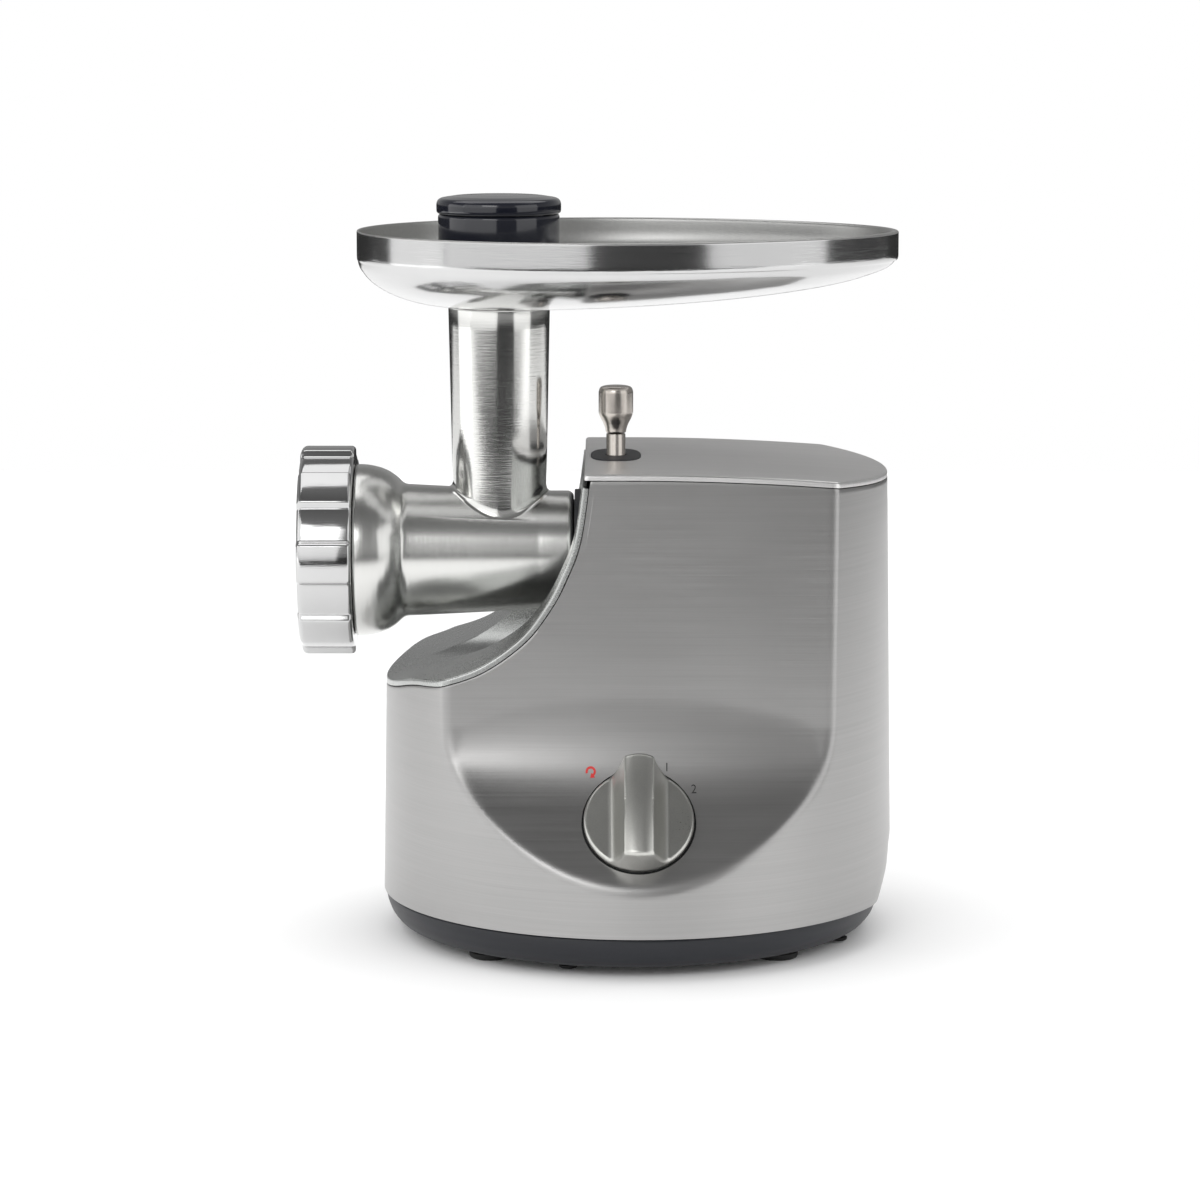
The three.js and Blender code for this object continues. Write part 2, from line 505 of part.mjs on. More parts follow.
// the tray's outline: half width at a place between its left and right tips
const trayLength = tray.right - tray.left;
function trayRim(turn) {
  const x = Math.cos(turn);
  const blunt = Math.sin(turn) * tray.halfWidth * (1 - 0.1 * x - 0.05 * x * x);
  return new THREE.Vector2(tray.left + trayLength / 2 + x * trayLength / 2, blunt);
}

function buildTray() {
  const { rim, wallFoot, floor, skin } = tray;
  const collar = tube.socket - gap;
  // share of the way from the tube to the rim, height, and the radius where the share is nothing
  const profile = [[0, tube.socketFloor + gap, collar], [0, floor, collar], [0, floor, tube.topRadius],
    [0.25, floor + 0.8], [0.55, floor + 4], [0.8, floor + 9], [0.93, wallFoot - 4.4],
    [0.985, wallFoot + 1], [1, wallFoot + 5], [1, rim - 1], [0.99, rim], [0.975, rim - 1],
    [0.97, wallFoot + 5], [0.95, wallFoot + 1], [0.9, wallFoot - 3], [0.78, floor + 8.6 + skin],
    [0.54, floor + 4 + skin], [0.25, floor + 0.8 + skin], [0, floor + skin, 20.4],
    [0, floor + skin - 1.4, tube.bore], [0, tube.socketFloor + gap, tube.bore]];
  const flat = profile.map((_, i) => [1 + i, i]);
  const geometry = turnedGeometry(flat, 40);
  const place = geometry.getAttribute('position');
  for (let i = 0; i < place.count; i += 1) {
    const [share, height, radius = tube.topRadius] = profile[Math.round(place.getZ(i))];
    const turn = Math.atan2(place.getY(i), place.getX(i));
    const outer = trayRim(turn);
    const [x, y] = [tube.x + radius * Math.cos(turn), radius * Math.sin(turn)];
    place.setXYZ(i, x + (outer.x - x) * share, y + (outer.y - y) * share, height);
  }
  addPart('tray', 'castAluminium', solidOf(geometry));
}

function buildPusher() {
  const stem = tube.bore - 0.9;
  const bodyProfile = [[0, 205], [stem - 2, 205], [stem, 207], [stem, 282.6], [26, 282.6], [26.6, 284],
    [26.6, 317], [24.4, 317], [24.4, 286], [stem - 2.4, 284], [stem - 2.4, 209], [0, 208]];
  addPart('pusher_body', 'darkPlastic', turned(bodyProfile, tube.x, 0));
  const capProfile = [[0, 317.6 + gap], [27, 317.3], [27.3, 318.2], [27.3, 322], [26, 323.8], [20, 324.9],
    [0, 325.4]];
  addPart('pusher_cap', 'darkPlastic', turned(capProfile, tube.x, 0));
}

buildHousing();
buildBase();
buildRelease();
buildControls();
buildDrive();
buildMotor();
buildHead();
buildScroll();
buildFront();
buildTray();
buildPusher();

const grinder = new THREE.Group();
grinder.position.set(groundShift.x, groundShift.y, 0);
grinder.add(...parts);
export default grinder;
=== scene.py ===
import math

import bmesh
import bpy
from mathutils import Matrix, Vector


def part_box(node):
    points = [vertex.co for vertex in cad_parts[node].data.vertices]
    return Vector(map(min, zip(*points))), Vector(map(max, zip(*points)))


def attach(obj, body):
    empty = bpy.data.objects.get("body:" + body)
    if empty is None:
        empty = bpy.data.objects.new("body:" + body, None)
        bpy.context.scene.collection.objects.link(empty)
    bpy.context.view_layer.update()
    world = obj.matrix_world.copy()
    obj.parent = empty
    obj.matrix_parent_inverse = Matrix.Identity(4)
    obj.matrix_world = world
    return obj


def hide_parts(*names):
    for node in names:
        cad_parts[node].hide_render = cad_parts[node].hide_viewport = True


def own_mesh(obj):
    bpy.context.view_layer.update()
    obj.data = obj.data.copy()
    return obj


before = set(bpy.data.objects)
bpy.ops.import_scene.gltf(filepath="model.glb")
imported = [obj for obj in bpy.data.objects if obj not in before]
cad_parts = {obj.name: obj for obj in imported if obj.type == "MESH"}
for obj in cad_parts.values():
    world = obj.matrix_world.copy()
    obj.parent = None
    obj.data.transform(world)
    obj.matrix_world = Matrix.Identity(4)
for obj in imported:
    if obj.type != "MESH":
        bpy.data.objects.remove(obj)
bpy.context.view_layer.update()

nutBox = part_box("ring_nut")
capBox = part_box("pusher_cap")

# outlines below are in millimetres about the upright axis of the housing
homeX = nutBox[0].x * 1000 + 148.4
homeY = (nutBox[0].y + nutBox[1].y) * 500
barrelZ = (nutBox[0].z + nutBox[1].z) * 500
tubeX = (capBox[0].x + capBox[1].x) * 500 - homeX
print("frame loaded, housing axis at", round(homeX, 2), round(homeY, 2))


def toFrame(x, y, z):
    return Vector(((x + homeX) / 1000, (y + homeY) / 1000, z / 1000))


# camera first, then floor and lamps
shot = {"place": (-12.7, -1900, 435), "aim": (-16.7, 0, 146), "lens": 130}


def placeCamera():
    data = bpy.data.cameras.new("grinderCamera")
    data.lens = shot["lens"]
    data.sensor_width = 36
    data.clip_start = 0.05
    camera = bpy.data.objects.new("grinderCamera", data)
    bpy.context.scene.collection.objects.link(camera)
    start, end = toFrame(*shot["place"]), toFrame(*shot["aim"])
    camera.location = start
    camera.rotation_euler = (end - start).to_track_quat("-Z", "Y").to_euler()
    bpy.context.scene.camera = camera


placeCamera()


# a number socket that takes Python arithmetic
class Level:
    def __init__(self, net, socket):
        self.net = net
        self.socket = socket

    def combine(self, kind, *values):
        return self.net.add("ShaderNodeMath", {"operation": kind}, dict(enumerate(values)))

    def __add__(self, other):
        return self.combine("ADD", self, other)

    def __radd__(self, other):
        return self.combine("ADD", other, self)

    def __sub__(self, other):
        return self.combine("SUBTRACT", self, other)

    def __rsub__(self, other):
        return self.combine("SUBTRACT", other, self)

    def __mul__(self, other):
        return self.combine("MULTIPLY", self, other)

    def __rmul__(self, other):
        return self.combine("MULTIPLY", other, self)

    def __pow__(self, other):
        return self.combine("POWER", self, other)


# one node tree, for a material or for geometry
class Net:
    def __init__(self, tree):
        self.tree = tree

    def add(self, kind, settings=None, inputs=None, output=0):
        node = self.tree.nodes.new(kind)
        for name, value in (settings or {}).items():
            if name == "stops":
                ramp = node.color_ramp
                while len(ramp.elements) < len(value):
                    ramp.elements.new(0.5)
                for element, (place, color) in zip(ramp.elements, value):
                    element.position = place
                    element.color = (*color, 1)
            else:
                setattr(node, name, value)
        for name, value in (inputs or {}).items():
            self.feed(node.inputs[name], value)
        return Level(self, node.outputs[output])

    def feed(self, socket, value):
        if isinstance(value, Level):
            self.tree.links.new(value.socket, socket)
        elif isinstance(value, (list, tuple)) and len(value) == 3 and socket.type == "RGBA":
            socket.default_value = (*value, 1)
        else:
            socket.default_value = value


# one material about a principled shader
class Finish(Net):
    def __init__(self, name, **steady):
        self.material = bpy.data.materials.new(name)
        self.material.use_nodes = True
        super().__init__(self.material.node_tree)
        self.shader = self.tree.nodes["Principled BSDF"]
        self.place = self.add("ShaderNodeTexCoord", output="Object")
        for name, value in steady.items():
            self.feed(self.shader.inputs[name], value)

    def set(self, name, value):
        self.feed(self.shader.inputs[name], value)

    def stretched(self, scale):
        return self.add("ShaderNodeMapping", {}, {"Vector": self.place, "Scale": scale})

    def noise(self, scale, detail=3, roughness=0.55, stretch=None):
        where = self.stretched(stretch) if stretch else self.place
        return self.add("ShaderNodeTexNoise", {}, {
            "Vector": where, "Scale": scale, "Detail": detail, "Roughness": roughness})

    def ramp(self, level, *stops):
        return self.add("ShaderNodeValToRGB", {"stops": stops}, {"Fac": level})

    def relief(self, height, strength, distance):
        normal = self.add("ShaderNodeBump", {}, {
            "Height": height, "Strength": strength, "Distance": distance})
        self.set("Normal", normal)


sheetWarmth = 0.01
plasticGrain = 1300


def grey(level, warm=0):
    return (level * (1 + warm), level, level * (1 - warm))


# brushed sheet: fine lines run where the stretch is small
def brushedSheet(name, stretch, tone, roughness, lines=0.3):
    look = Finish(name, Metallic=1.0)
    fine = look.noise(1, 2, 0.6, stretch)
    broad = look.noise(9, 3)
    smear = look.noise(1, 3, 0.6, tuple(v * 0.16 for v in stretch))
    mixed = fine * 0.55 + smear * 0.3 + broad * 0.15
    low, high = grey(tone * 0.92, sheetWarmth), grey(tone * 1.06, sheetWarmth)
    look.set("Base Color", look.ramp(mixed, (0.3, low), (0.7, high)))
    look.set("Roughness", fine * 0.1 + broad * 0.12 + (roughness - 0.11))
    look.relief(fine * 0.8 + smear * 0.2, lines, 0.0001)
    return look.material


# plain metal with a fine even grain
def satinMetal(name, color, roughness, grain=900, strength=0.15):
    look = Finish(name, Metallic=1.0)
    fine = look.noise(grain, 2, 0.6)
    broad = look.noise(22, 4)
    low = tuple(v * 0.88 for v in color)
    high = tuple(min(v * 1.08, 1) for v in color)
    look.set("Base Color", look.ramp(broad * 0.7 + fine * 0.3, (0.32, low), (0.68, high)))
    look.set("Roughness", broad * 0.12 + fine * 0.08 + (roughness - 0.1))
    look.relief(fine, strength, 0.00006)
    return look.material


# polished metal: slow waves from the casting or buffing, faint hairlines
def polishedMetal(name, color, roughness, wave=0.0003, hair=0.05, lay=(60, 60, 1400)):
    look = Finish(name, Metallic=1.0)
    slow = look.noise(26, 2, 0.4)
    hairs = look.noise(1, 2, 0.7, lay)
    cloud = look.noise(12, 4)
    low = tuple(v * 0.93 for v in color)
    look.set("Base Color", look.ramp(cloud, (0.35, low), (0.65, color)))
    look.set("Roughness", cloud * 0.08 + hairs * hair + (roughness - 0.04))
    look.relief(slow * 0.5 + hairs * 0.5, 0.6, wave)
    return look.material


# plastic and rubber, with the mould's fine texture
def mouldedPlastic(name, color, roughness, grain=0.2, coat=0.0):
    look = Finish(name, **{"Coat Weight": coat, "Coat Roughness": 0.05, "Specular IOR Level": 0.5})
    fine = look.noise(plasticGrain, 3, 0.6)
    broad = look.noise(14, 3)
    low = tuple(v * 0.8 for v in color)
    high = tuple(v * 1.25 for v in color)
    look.set("Base Color", look.ramp(broad * 0.6 + fine * 0.4, (0.3, low), (0.7, high)))
    look.set("Roughness", broad * 0.1 + fine * 0.08 + (roughness - 0.09))
    look.relief(fine, grain, 0.00008)
    return look.material


# wound wire: painted shade in the gaps between the turns
def windingWire(name, color):
    look = Finish(name, Metallic=0.9)
    turns = look.add("ShaderNodeTexWave", {"bands_direction": "X", "rings_direction": "X"}, {
        "Vector": look.place, "Scale": 420, "Distortion": 0.6})
    # painted shade: the gaps between the turns get 0.45 of the wire's colour
    dark = tuple(v * 0.45 for v in color)
    look.set("Base Color", look.ramp(turns, (0.1, dark), (0.6, color)))
    look.set("Roughness", turns * -0.1 + 0.42)
    look.relief(turns, 0.5, 0.0002)
    return look.material


finishes = {
    "housingSheet": brushedSheet("housingSheet", (14, 14, 1900), 0.395, 0.33),
    "lidSheet": brushedSheet("lidSheet", (14, 1900, 14), 0.82, 0.36),
    "saddleSheet": satinMetal("saddleSheet", (0.50, 0.51, 0.50), 0.27, grain=1400, strength=0.06),
    "castHead": polishedMetal("castHead", (0.74, 0.74, 0.72), 0.2, wave=0.00006, lay=(1600, 50, 50),
                              hair=0.08),
    "castTube": polishedMetal("castTube", (0.76, 0.76, 0.74), 0.11, wave=0.00006, hair=0.05),
    "chromeNut": polishedMetal("chromeNut", (0.60, 0.60, 0.60), 0.09, wave=0.00005, hair=0.03),
    "trayOutside": polishedMetal("trayOutside", (0.62, 0.62, 0.62), 0.12, wave=0.00008),
    "trayInside": satinMetal("trayInside", (0.50, 0.50, 0.49), 0.36, grain=600, strength=0.45),
    "nickelPin": satinMetal("nickelPin", (0.56, 0.52, 0.48), 0.24),
    "machinedSteel": satinMetal("machinedSteel", (0.55, 0.56, 0.57), 0.32),
    "castAlloy": satinMetal("castAlloy", (0.52, 0.53, 0.54), 0.55, grain=500, strength=0.5),
    "panPlastic": mouldedPlastic("panPlastic", (0.006, 0.007, 0.011), 0.42),
    "collarPlastic": mouldedPlastic("collarPlastic", (0.02, 0.021, 0.024), 0.45),
    "trimPlastic": mouldedPlastic("trimPlastic", (0.014, 0.015, 0.018), 0.5),
    "blackScrew": satinMetal("blackScrew", (0.035, 0.035, 0.035), 0.45),
    "glossPlastic": mouldedPlastic("glossPlastic", (0.007, 0.008, 0.014), 0.12, grain=0.03, coat=0.6),
    "footRubber": mouldedPlastic("footRubber", (0.012, 0.012, 0.012), 0.75, grain=0.5),
    "knobSilver": satinMetal("knobSilver", (0.60, 0.60, 0.57), 0.3, grain=1500, strength=0.12),
    "gearNylon": mouldedPlastic("gearNylon", (0.72, 0.69, 0.60), 0.45),
    "laminatedIron": brushedSheet("laminatedIron", (1800, 12, 12), 0.16, 0.5, lines=0.5),
    "windingCopper": windingWire("windingCopper", (0.62, 0.30, 0.14)),
    "brushBrass": satinMetal("brushBrass", (0.66, 0.50, 0.22), 0.3),
    "boardGreen": mouldedPlastic("boardGreen", (0.02, 0.11, 0.05), 0.4),
    "darkMark": mouldedPlastic("darkMark", (0.012, 0.012, 0.012), 0.4),
    "redMark": mouldedPlastic("redMark", (0.5, 0.012, 0.01), 0.4),
}
print("materials made:", len(finishes))


# mesh helpers, all of them take millimetres

def meshObject(name, points, faces):
    mesh = bpy.data.meshes.new(name)
    mesh.from_pydata([toFrame(*p) for p in points], [], faces)
    obj = bpy.data.objects.new(name, mesh)
    bpy.context.scene.collection.objects.link(obj)
    return obj


def cleaned(obj, recalc=True, distance=2e-6):
    work = bmesh.new()
    work.from_mesh(obj.data)
    bmesh.ops.remove_doubles(work, verts=work.verts, dist=distance)
    bmesh.ops.dissolve_degenerate(work, edges=work.edges, dist=distance)
    if recalc:
        bmesh.ops.recalc_face_normals(work, faces=work.faces)
    work.to_mesh(obj.data)
    work.free()
    return obj


# an open sheet keeps the side that looks away from a point
def facedAway(obj, centre):
    middle = toFrame(*centre)
    total = sum(f.normal.dot(f.center - middle) * f.area for f in obj.data.polygons)
    if total < 0:
        obj.data.flip_normals()
    return obj


def shaded(obj, angle=30):
    obj.data.shade_smooth()
    obj.data.set_sharp_from_angle(angle=math.radians(angle))
    return obj


def gridFaces(rows, columns, closed):
    span = columns if closed else columns - 1
    faces = []
    for j in range(rows - 1):
        for i in range(span):
            k = (i + 1) % columns
            faces.append((j * columns + i, j * columns + k, (j + 1) * columns + k, (j + 1) * columns + i))
    return faces


def gridObject(name, rows, closed=False, recalc=True):
    points = [p for row in rows for p in row]
    obj = meshObject(name, points, gridFaces(len(rows), len(rows[0]), closed))
    return cleaned(obj, recalc)


def applied(obj):
    bpy.context.view_layer.update()
    graph = bpy.context.evaluated_depsgraph_get()
    mesh = bpy.data.meshes.new_from_object(obj.evaluated_get(graph))
    obj.modifiers.clear()
    obj.data = mesh
    return obj


# a sheet gets its thickness inwards
def thickened(obj, thickness):
    wall = obj.modifiers.new("wall", "SOLIDIFY")
    wall.thickness = thickness / 1000
    wall.offset = -1
    wall.use_even_offset = False
    return applied(obj)


def cutWith(obj, cutter, operation="DIFFERENCE"):
    cut = obj.modifiers.new("cut", "BOOLEAN")
    cut.operation = operation
    cut.solver = "EXACT"
    cut.object = cutter
    before = len(obj.data.polygons)
    applied(obj)
    print("  cut", obj.name, before, "to", len(obj.data.polygons), "faces")
    bpy.data.objects.remove(cutter)
    return obj


def closedLoop(profile):
    return list(profile) + [profile[0]]


# (radius, along) pairs turned about an upright or a lengthwise axis
def turned(name, profile, centre=(0, 0, 0), axis="z", segments=96, scaleY=1.0):
    rows = []
    for radius, along in profile:
        row = []
        for i in range(segments):
            turn = 2 * math.pi * i / segments
            a, b = radius * math.cos(turn), radius * math.sin(turn)
            spot = (along, a, b) if axis == "x" else (a, b * scaleY, along)
            row.append(tuple(s + c for s, c in zip(spot, centre)))
        rows.append(row)
    return gridObject(name, rows, closed=True)


# corners of a closed outline cut off a few times, which rounds them a little
def softened(points, rounds, share=0.25):
    for step in range(rounds):
        fresh = []
        for a, b in zip(points, points[1:] + points[:1]):
            fresh.append(tuple(p + (q - p) * share for p, q in zip(a, b)))
            fresh.append(tuple(p + (q - p) * (1 - share) for p, q in zip(a, b)))
        points = fresh
    return points


# corners of a profile turned into short arcs of a set size
def rounded(points, size, steps=4):
    result = []
    count = len(points)
    for i, point in enumerate(points):
        here = Vector(point)
        back = Vector(points[i - 1]) - here
        ahead = Vector(points[(i + 1) % count]) - here
        reach = min(size, back.length * 0.45, ahead.length * 0.45)
        if point[0] <= 0 or reach < 1e-3:
            result.append(tuple(point))
            continue
        a, b = here + back.normalized() * reach, here + ahead.normalized() * reach
        for s in range(steps + 1):
            t = s / steps
            result.append(tuple(a * (1 - t) ** 2 + here * 2 * t * (1 - t) + b * t * t))
    return result


def blendOf(a, b, t):
    return tuple(p + (q - p) * t for p, q in zip(a, b))


def interpolate(table, x):
    if x <= table[0][0]:
        return table[0][1]
    for (x0, y0), (x1, y1) in zip(table, table[1:]):
        if x <= x1:
            return y0 + (y1 - y0) * (x - x0) / (x1 - x0)
    return table[-1][1]


# where a test turns true between two bounds
def solve(test, low, high):
    for step in range(36):
        middle = (low + high) / 2
        if test(middle):
            high = middle
        else:
            low = middle
    return (low + high) / 2


def finished(obj, body, look, nodes, angle=30):
    shaded(obj, angle)
    obj.data.materials.clear()
    obj.data.materials.append(finishes[look])
    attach(obj, body)
    if nodes:
        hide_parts(*nodes)
    return obj


# the housing's outer skin
housing = {
    "bottom": 18.3, "top": 210.7, "lowRadius": 113.0, "highRadius": 109.5, "highAt": 230, "depthScale": 1.014,
    "thickness": 2.2, "seam": 2.9, "lid": 2.6, "rows": 136, "edge": 2.4, "footEdge": 6.0,
    "rightLimit": [(18.3, 106.6), (30, 112.2), (40, 114.6), (60, 130), (240, 130)],
}
facet = {"topY": 71, "topAt": 210.7, "kneeY": 75.6, "kneeZ": 88, "footY": 113.5, "footZ": 40,
         "cove": 16, "coveExtra": 13, "halfLength": 76}
saddle = {
    "straight": [(-118, 110.2), (-109.8, 114.4), (-101.5, 118.6)],
    "curved": [(-101.5, 118.6), (-96, 120.4), (-84.5, 122.4), (-67.5, 128.4), (-50.5, 140.6), (-40, 154),
               (-33.5, 166.2), (-27.3, 183), (-23.3, 210.7)],
    "corner": -23.3, "edge": 1.1, "trough": 47.5, "endWall": -26, "thickness": 1.8, "outlet": 27.4,
}
dome = {"start": -4.6, "drop": 0.000408}


# the lesser of two lengths, blended where they are close
def softMin(a, b, reach):
    share = max(reach - abs(a - b), 0) / reach
    return min(a, b) - share * share * reach / 4


leanRun = Vector((facet["topY"] - facet["kneeY"], facet["topAt"] - facet["kneeZ"])).normalized()
panelRun = Vector((facet["footY"] - facet["kneeY"], facet["footZ"] - facet["kneeZ"])).normalized()


# distance of the flat face from the middle plane; the cove between its two planes is widest at x = 0
def facetReach(z, x=0.0):
    size = facet["cove"] + facet["coveExtra"] * max(1 - (x / facet["halfLength"]) ** 2, 0)
    topY, topZ = facet["kneeY"] + leanRun.x * size, facet["kneeZ"] + leanRun.y * size
    footY, footZ = facet["kneeY"] + panelRun.x * size, facet["kneeZ"] + panelRun.y * size
    if z >= topZ:
        return facet["kneeY"] + (z - facet["kneeZ"]) * leanRun.x / leanRun.y
    if z <= footZ:
        return facet["kneeY"] + (z - facet["kneeZ"]) * panelRun.x / panelRun.y
    a = topZ - 2 * facet["kneeZ"] + footZ
    b = 2 * (facet["kneeZ"] - topZ)
    c = topZ - z
    t = 2 * c / (-b + math.sqrt(b * b - 4 * a * c))
    return (1 - t) ** 2 * topY + 2 * t * (1 - t) * facet["kneeY"] + t * t * footY


def wallReach(turn, z):
    h = housing
    climb = (z - h["bottom"]) / (h["highAt"] - h["bottom"])
    radius = h["lowRadius"] + (h["highRadius"] - h["lowRadius"]) * climb
    c, s = math.cos(turn), math.sin(turn)
    reach = radius / math.hypot(c, s / h["depthScale"])
    if abs(s) > 0.05:
        reach = softMin(reach, facetReach(z, facet["kneeY"] * c / s) / abs(s), h["edge"])
    if c > 0.05:
        reach = softMin(reach, interpolate(h["rightLimit"], z) / c, h["footEdge"])
    return reach


def topHeight(x):
    return housing["top"] - dome["drop"] * max(x - dome["start"], 0) ** 2


# a smooth line through all the points
def smoothLine(points, steps):
    line = []
    last = len(points) - 1
    for i in range(last):
        p0, p1 = Vector(points[max(i - 1, 0)]), Vector(points[i])
        p2, p3 = Vector(points[i + 1]), Vector(points[min(i + 2, last)])
        for s in range(steps):
            t = s / steps
            m1, m2 = (p2 - p0) / 2, (p3 - p1) / 2
            spot = (p1 * (2 * t ** 3 - 3 * t ** 2 + 1) + m1 * (t ** 3 - 2 * t ** 2 + t)
                    + p2 * (3 * t ** 2 - 2 * t ** 3) + m2 * (t ** 3 - t ** 2))
            line.append(tuple(spot))
    return line + [tuple(points[-1])]


def lineNormals(line):
    normals = []
    for i in range(len(line)):
        a, b = line[max(i - 1, 0)], line[min(i + 1, len(line) - 1)]
        along = Vector((b[0] - a[0], b[1] - a[1])).normalized()
        normals.append((along.y, -along.x))
    return normals


def movedLine(line, depth):
    return [(p[0] + n[0] * depth, p[1] + n[1] * depth) for p, n in zip(line, lineNormals(line))]


straightPart = [blendOf(a, b, s / 8)
                for a, b in zip(saddle["straight"], saddle["straight"][1:]) for s in range(8)]
saddleLine = straightPart + smoothLine(saddle["curved"], 12)
topLine = [(saddle["corner"] + i, topHeight(saddle["corner"] + i)) for i in range(0, 160, 2)]


def trimLine(depth):
    left = movedLine(saddleLine, depth)
    right = movedLine(topLine, depth)
    corner = saddle["corner"] + depth
    left = [p for p in left if p[0] < corner and p[1] < housing["top"] - depth]
    return left + [(corner, housing["top"] - depth)] + [p for p in right if p[0] > corner + 0.5]


housingTrim = sorted(trimLine(housing["seam"]))


def wallPoint(turn, z):
    reach = wallReach(turn, z)
    return Vector((reach * math.cos(turn), reach * math.sin(turn), z))


# height at which the wall meets a trim line, seen from the axis at this angle
def wallTop(turn, trimmed=housingTrim):
    return solve(lambda z: z > interpolate(trimmed, wallReach(turn, z) * math.cos(turn)), 60, 211)


def housingTurns():
    spans = [(0, 36, 1.2), (36, 46, 0.5), (46, 102, 1.0), (102, 126, 0.35), (126, 134, 0.8), (134, 144, 0.5),
             (144, 172, 0.9), (172, 180, 0.6)]
    turns = [start + i * step for start, end, step in spans for i in range(round((end - start) / step))]
    return [math.radians(t) for t in turns] + [math.pi]


def buildHousingHalf(name, side):
    turns = housingTurns()
    split = 0.15
    heads = [wallTop(t) for t in turns]
    count = housing["rows"]
    low = housing["bottom"]
    rows = []
    steps = [(i / count, 0, 0) for i in range(count)] + [(1, -0.5, 0), (1, -0.15, 0.12), (1, 0, 0.5)]
    for share, lift, inset in steps:
        row = []
        for turn, head in zip(turns, heads):
            z = low + (head - 0.8 - low) * share if share < 1 else head + lift
            reach = wallReach(turn, z) - inset
            x, y = reach * math.cos(turn), max(reach * math.sin(turn), split)
            row.append((x, y * side, z))
        rows.append(row)
    obj = gridObject(name, rows, recalc=False)
    facedAway(obj, (0, 0, 100))
    return thickened(obj, housing["thickness"])


print("building the housing")
panelLean = Matrix.Rotation(math.radians(52), 4, "X")
knobPlace = {"y": -93.5, "z": 64}


def placedOnPanel(obj):
    shift = Matrix.Translation(toFrame(0, knobPlace["y"], knobPlace["z"]))
    back = Matrix.Translation(-toFrame(0, 0, 0))
    obj.data.transform(shift @ panelLean @ back)
    return obj


front = buildHousingHalf("housingFront", -1)
well = placedOnPanel(turned("wellCutter", [(0, -1.2), (24.4, -1.2), (24.4, 9), (0, 9)], segments=160))
cutWith(front, well)
finished(front, "grinder", "housingSheet", ["housing_front"], 32)
rear = buildHousingHalf("housingRear", 1)
gland = {"x": 62, "y": 96, "z": 31}


def radially(obj):
    turn = Matrix.Rotation(math.atan2(gland["y"], gland["x"]) - math.pi / 2, 4, "Z")
    tip = Matrix.Rotation(-math.pi / 2, 4, "X")
    back = Matrix.Translation(-toFrame(0, 0, 0))
    obj.data.transform(Matrix.Translation(toFrame(gland["x"], gland["y"], gland["z"])) @ turn @ tip @ back)
    return obj


cutWith(rear, radially(turned("glandCutter", [(0, -12), (8.3, -12), (8.3, 12), (0, 12)])))
finished(rear, "grinder", "housingSheet", ["housing_rear"], 32)

# the lid: its rim turns down to a seam all the way round
lid = {"centre": 40, "rimRadius": 1.3, "thickness": 2.2}
trim = {"x": -9.7, "halfX": 11, "halfY": 22.5, "top": 211.1, "squareness": 0.7}


def lidReach(turn):
    c, s = math.cos(turn), math.sin(turn)

    def outside(d):
        x, y = lid["centre"] + d * c, d * s
        return math.hypot(x, y) > wallReach(math.atan2(y, x), 209)
    reach = solve(outside, 10, 160)
    if c < -0.02:
        reach = softMin(reach, (lid["centre"] - saddle["corner"]) / -c, 2.6)
    return reach


def buildLid():
    spans = [(0, 52, 1.3), (52, 65, 0.5), (65, 126, 1.0), (126, 138, 0.3), (138, 180, 1.2)]
    half = [s + i * step for s, e, step in spans for i in range(round((e - s) / step))] + [180]
    turns = [math.radians(t) for t in half] + [math.radians(-t) for t in reversed(half[1:-1])]
    edge = [Vector((lid["centre"] + lidReach(t) * math.cos(t), lidReach(t) * math.sin(t))) for t in turns]
    count = len(edge)
    inward = []
    for i in range(count):
        along = (edge[(i + 1) % count] - edge[i - 1]).normalized()
        inward.append(Vector((-along.y, along.x)))
    r = lid["rimRadius"]
    arcs = [(r * (1 - math.sin(a)), r * (1 - math.cos(a))) for a in [math.radians(15 * k) for k in range(7)]]
    bends = arcs + [(0, housing["lid"]), (lid["thickness"], housing["lid"])]
    rows = []
    for share in [0.002, 0.15, 0.3, 0.45, 0.6, 0.72, 0.82, 0.9, 0.96]:
        row = []
        for e, n in zip(edge, inward):
            rim = e + n * r
            x, y = lid["centre"] + (rim.x - lid["centre"]) * share, rim.y * share
            row.append((x, y, topHeight(x)))
        rows.append(row)
    for inset, depth in bends:
        rows.append([(e.x + n.x * inset, e.y + n.y * inset, topHeight(e.x + n.x * inset) - depth)
                     for e, n in zip(edge, inward)])
    for share in [0.99, 0.6, 0.2, 0.002]:
        rows.append([(lid["centre"] + (e.x - lid["centre"]) * share * 0.96, e.y * share * 0.96,
                      topHeight(lid["centre"] + (e.x - lid["centre"]) * share * 0.96) - lid["thickness"])
                     for e in edge])
    first = [tuple(sum(v[i] for v in rows[0]) / count for i in range(3))] * count
    last = [tuple(sum(v[i] for v in rows[-1]) / count for i in range(3))] * count
    return gridObject("topCover", [first] + rows + [last], closed=True)


def trimPoint(inset, z, t):
    across, along = math.cos(t), math.sin(t)
    x = math.copysign(abs(across) ** trim["squareness"], across) * (trim["halfX"] - inset)
    y = math.copysign(abs(along) ** trim["squareness"], along) * (trim["halfY"] - inset)
    return (trim["x"] + x, y, z)


def trimPost(name, grow, low, high):
    rows = []
    for share, z in [(0, low), (1, low), (1, high), (0, high)]:
        ring = [trimPoint(-grow, z, 2 * math.pi * i / 128) for i in range(128)]
        rows.append([blendOf((trim["x"], 0, z), p, share) for p in ring])
    return gridObject(name, rows, closed=True)


topCover = buildLid()
cutWith(topCover, trimPost("trimCutter", 0.15, 200, 220))
finished(topCover, "grinder", "lidSheet", ["top_cover"], 32)


# the saddle under the head, with its round trough
def saddleSlope(x):
    (x0, z0), (x1, z1) = [(x + d, interpolate(saddleLine, x + d)) for d in (-0.15, 0.15)]
    along = Vector((x1 - x0, 0, z1 - z0)).normalized()
    return Vector((along.z, 0, -along.x))


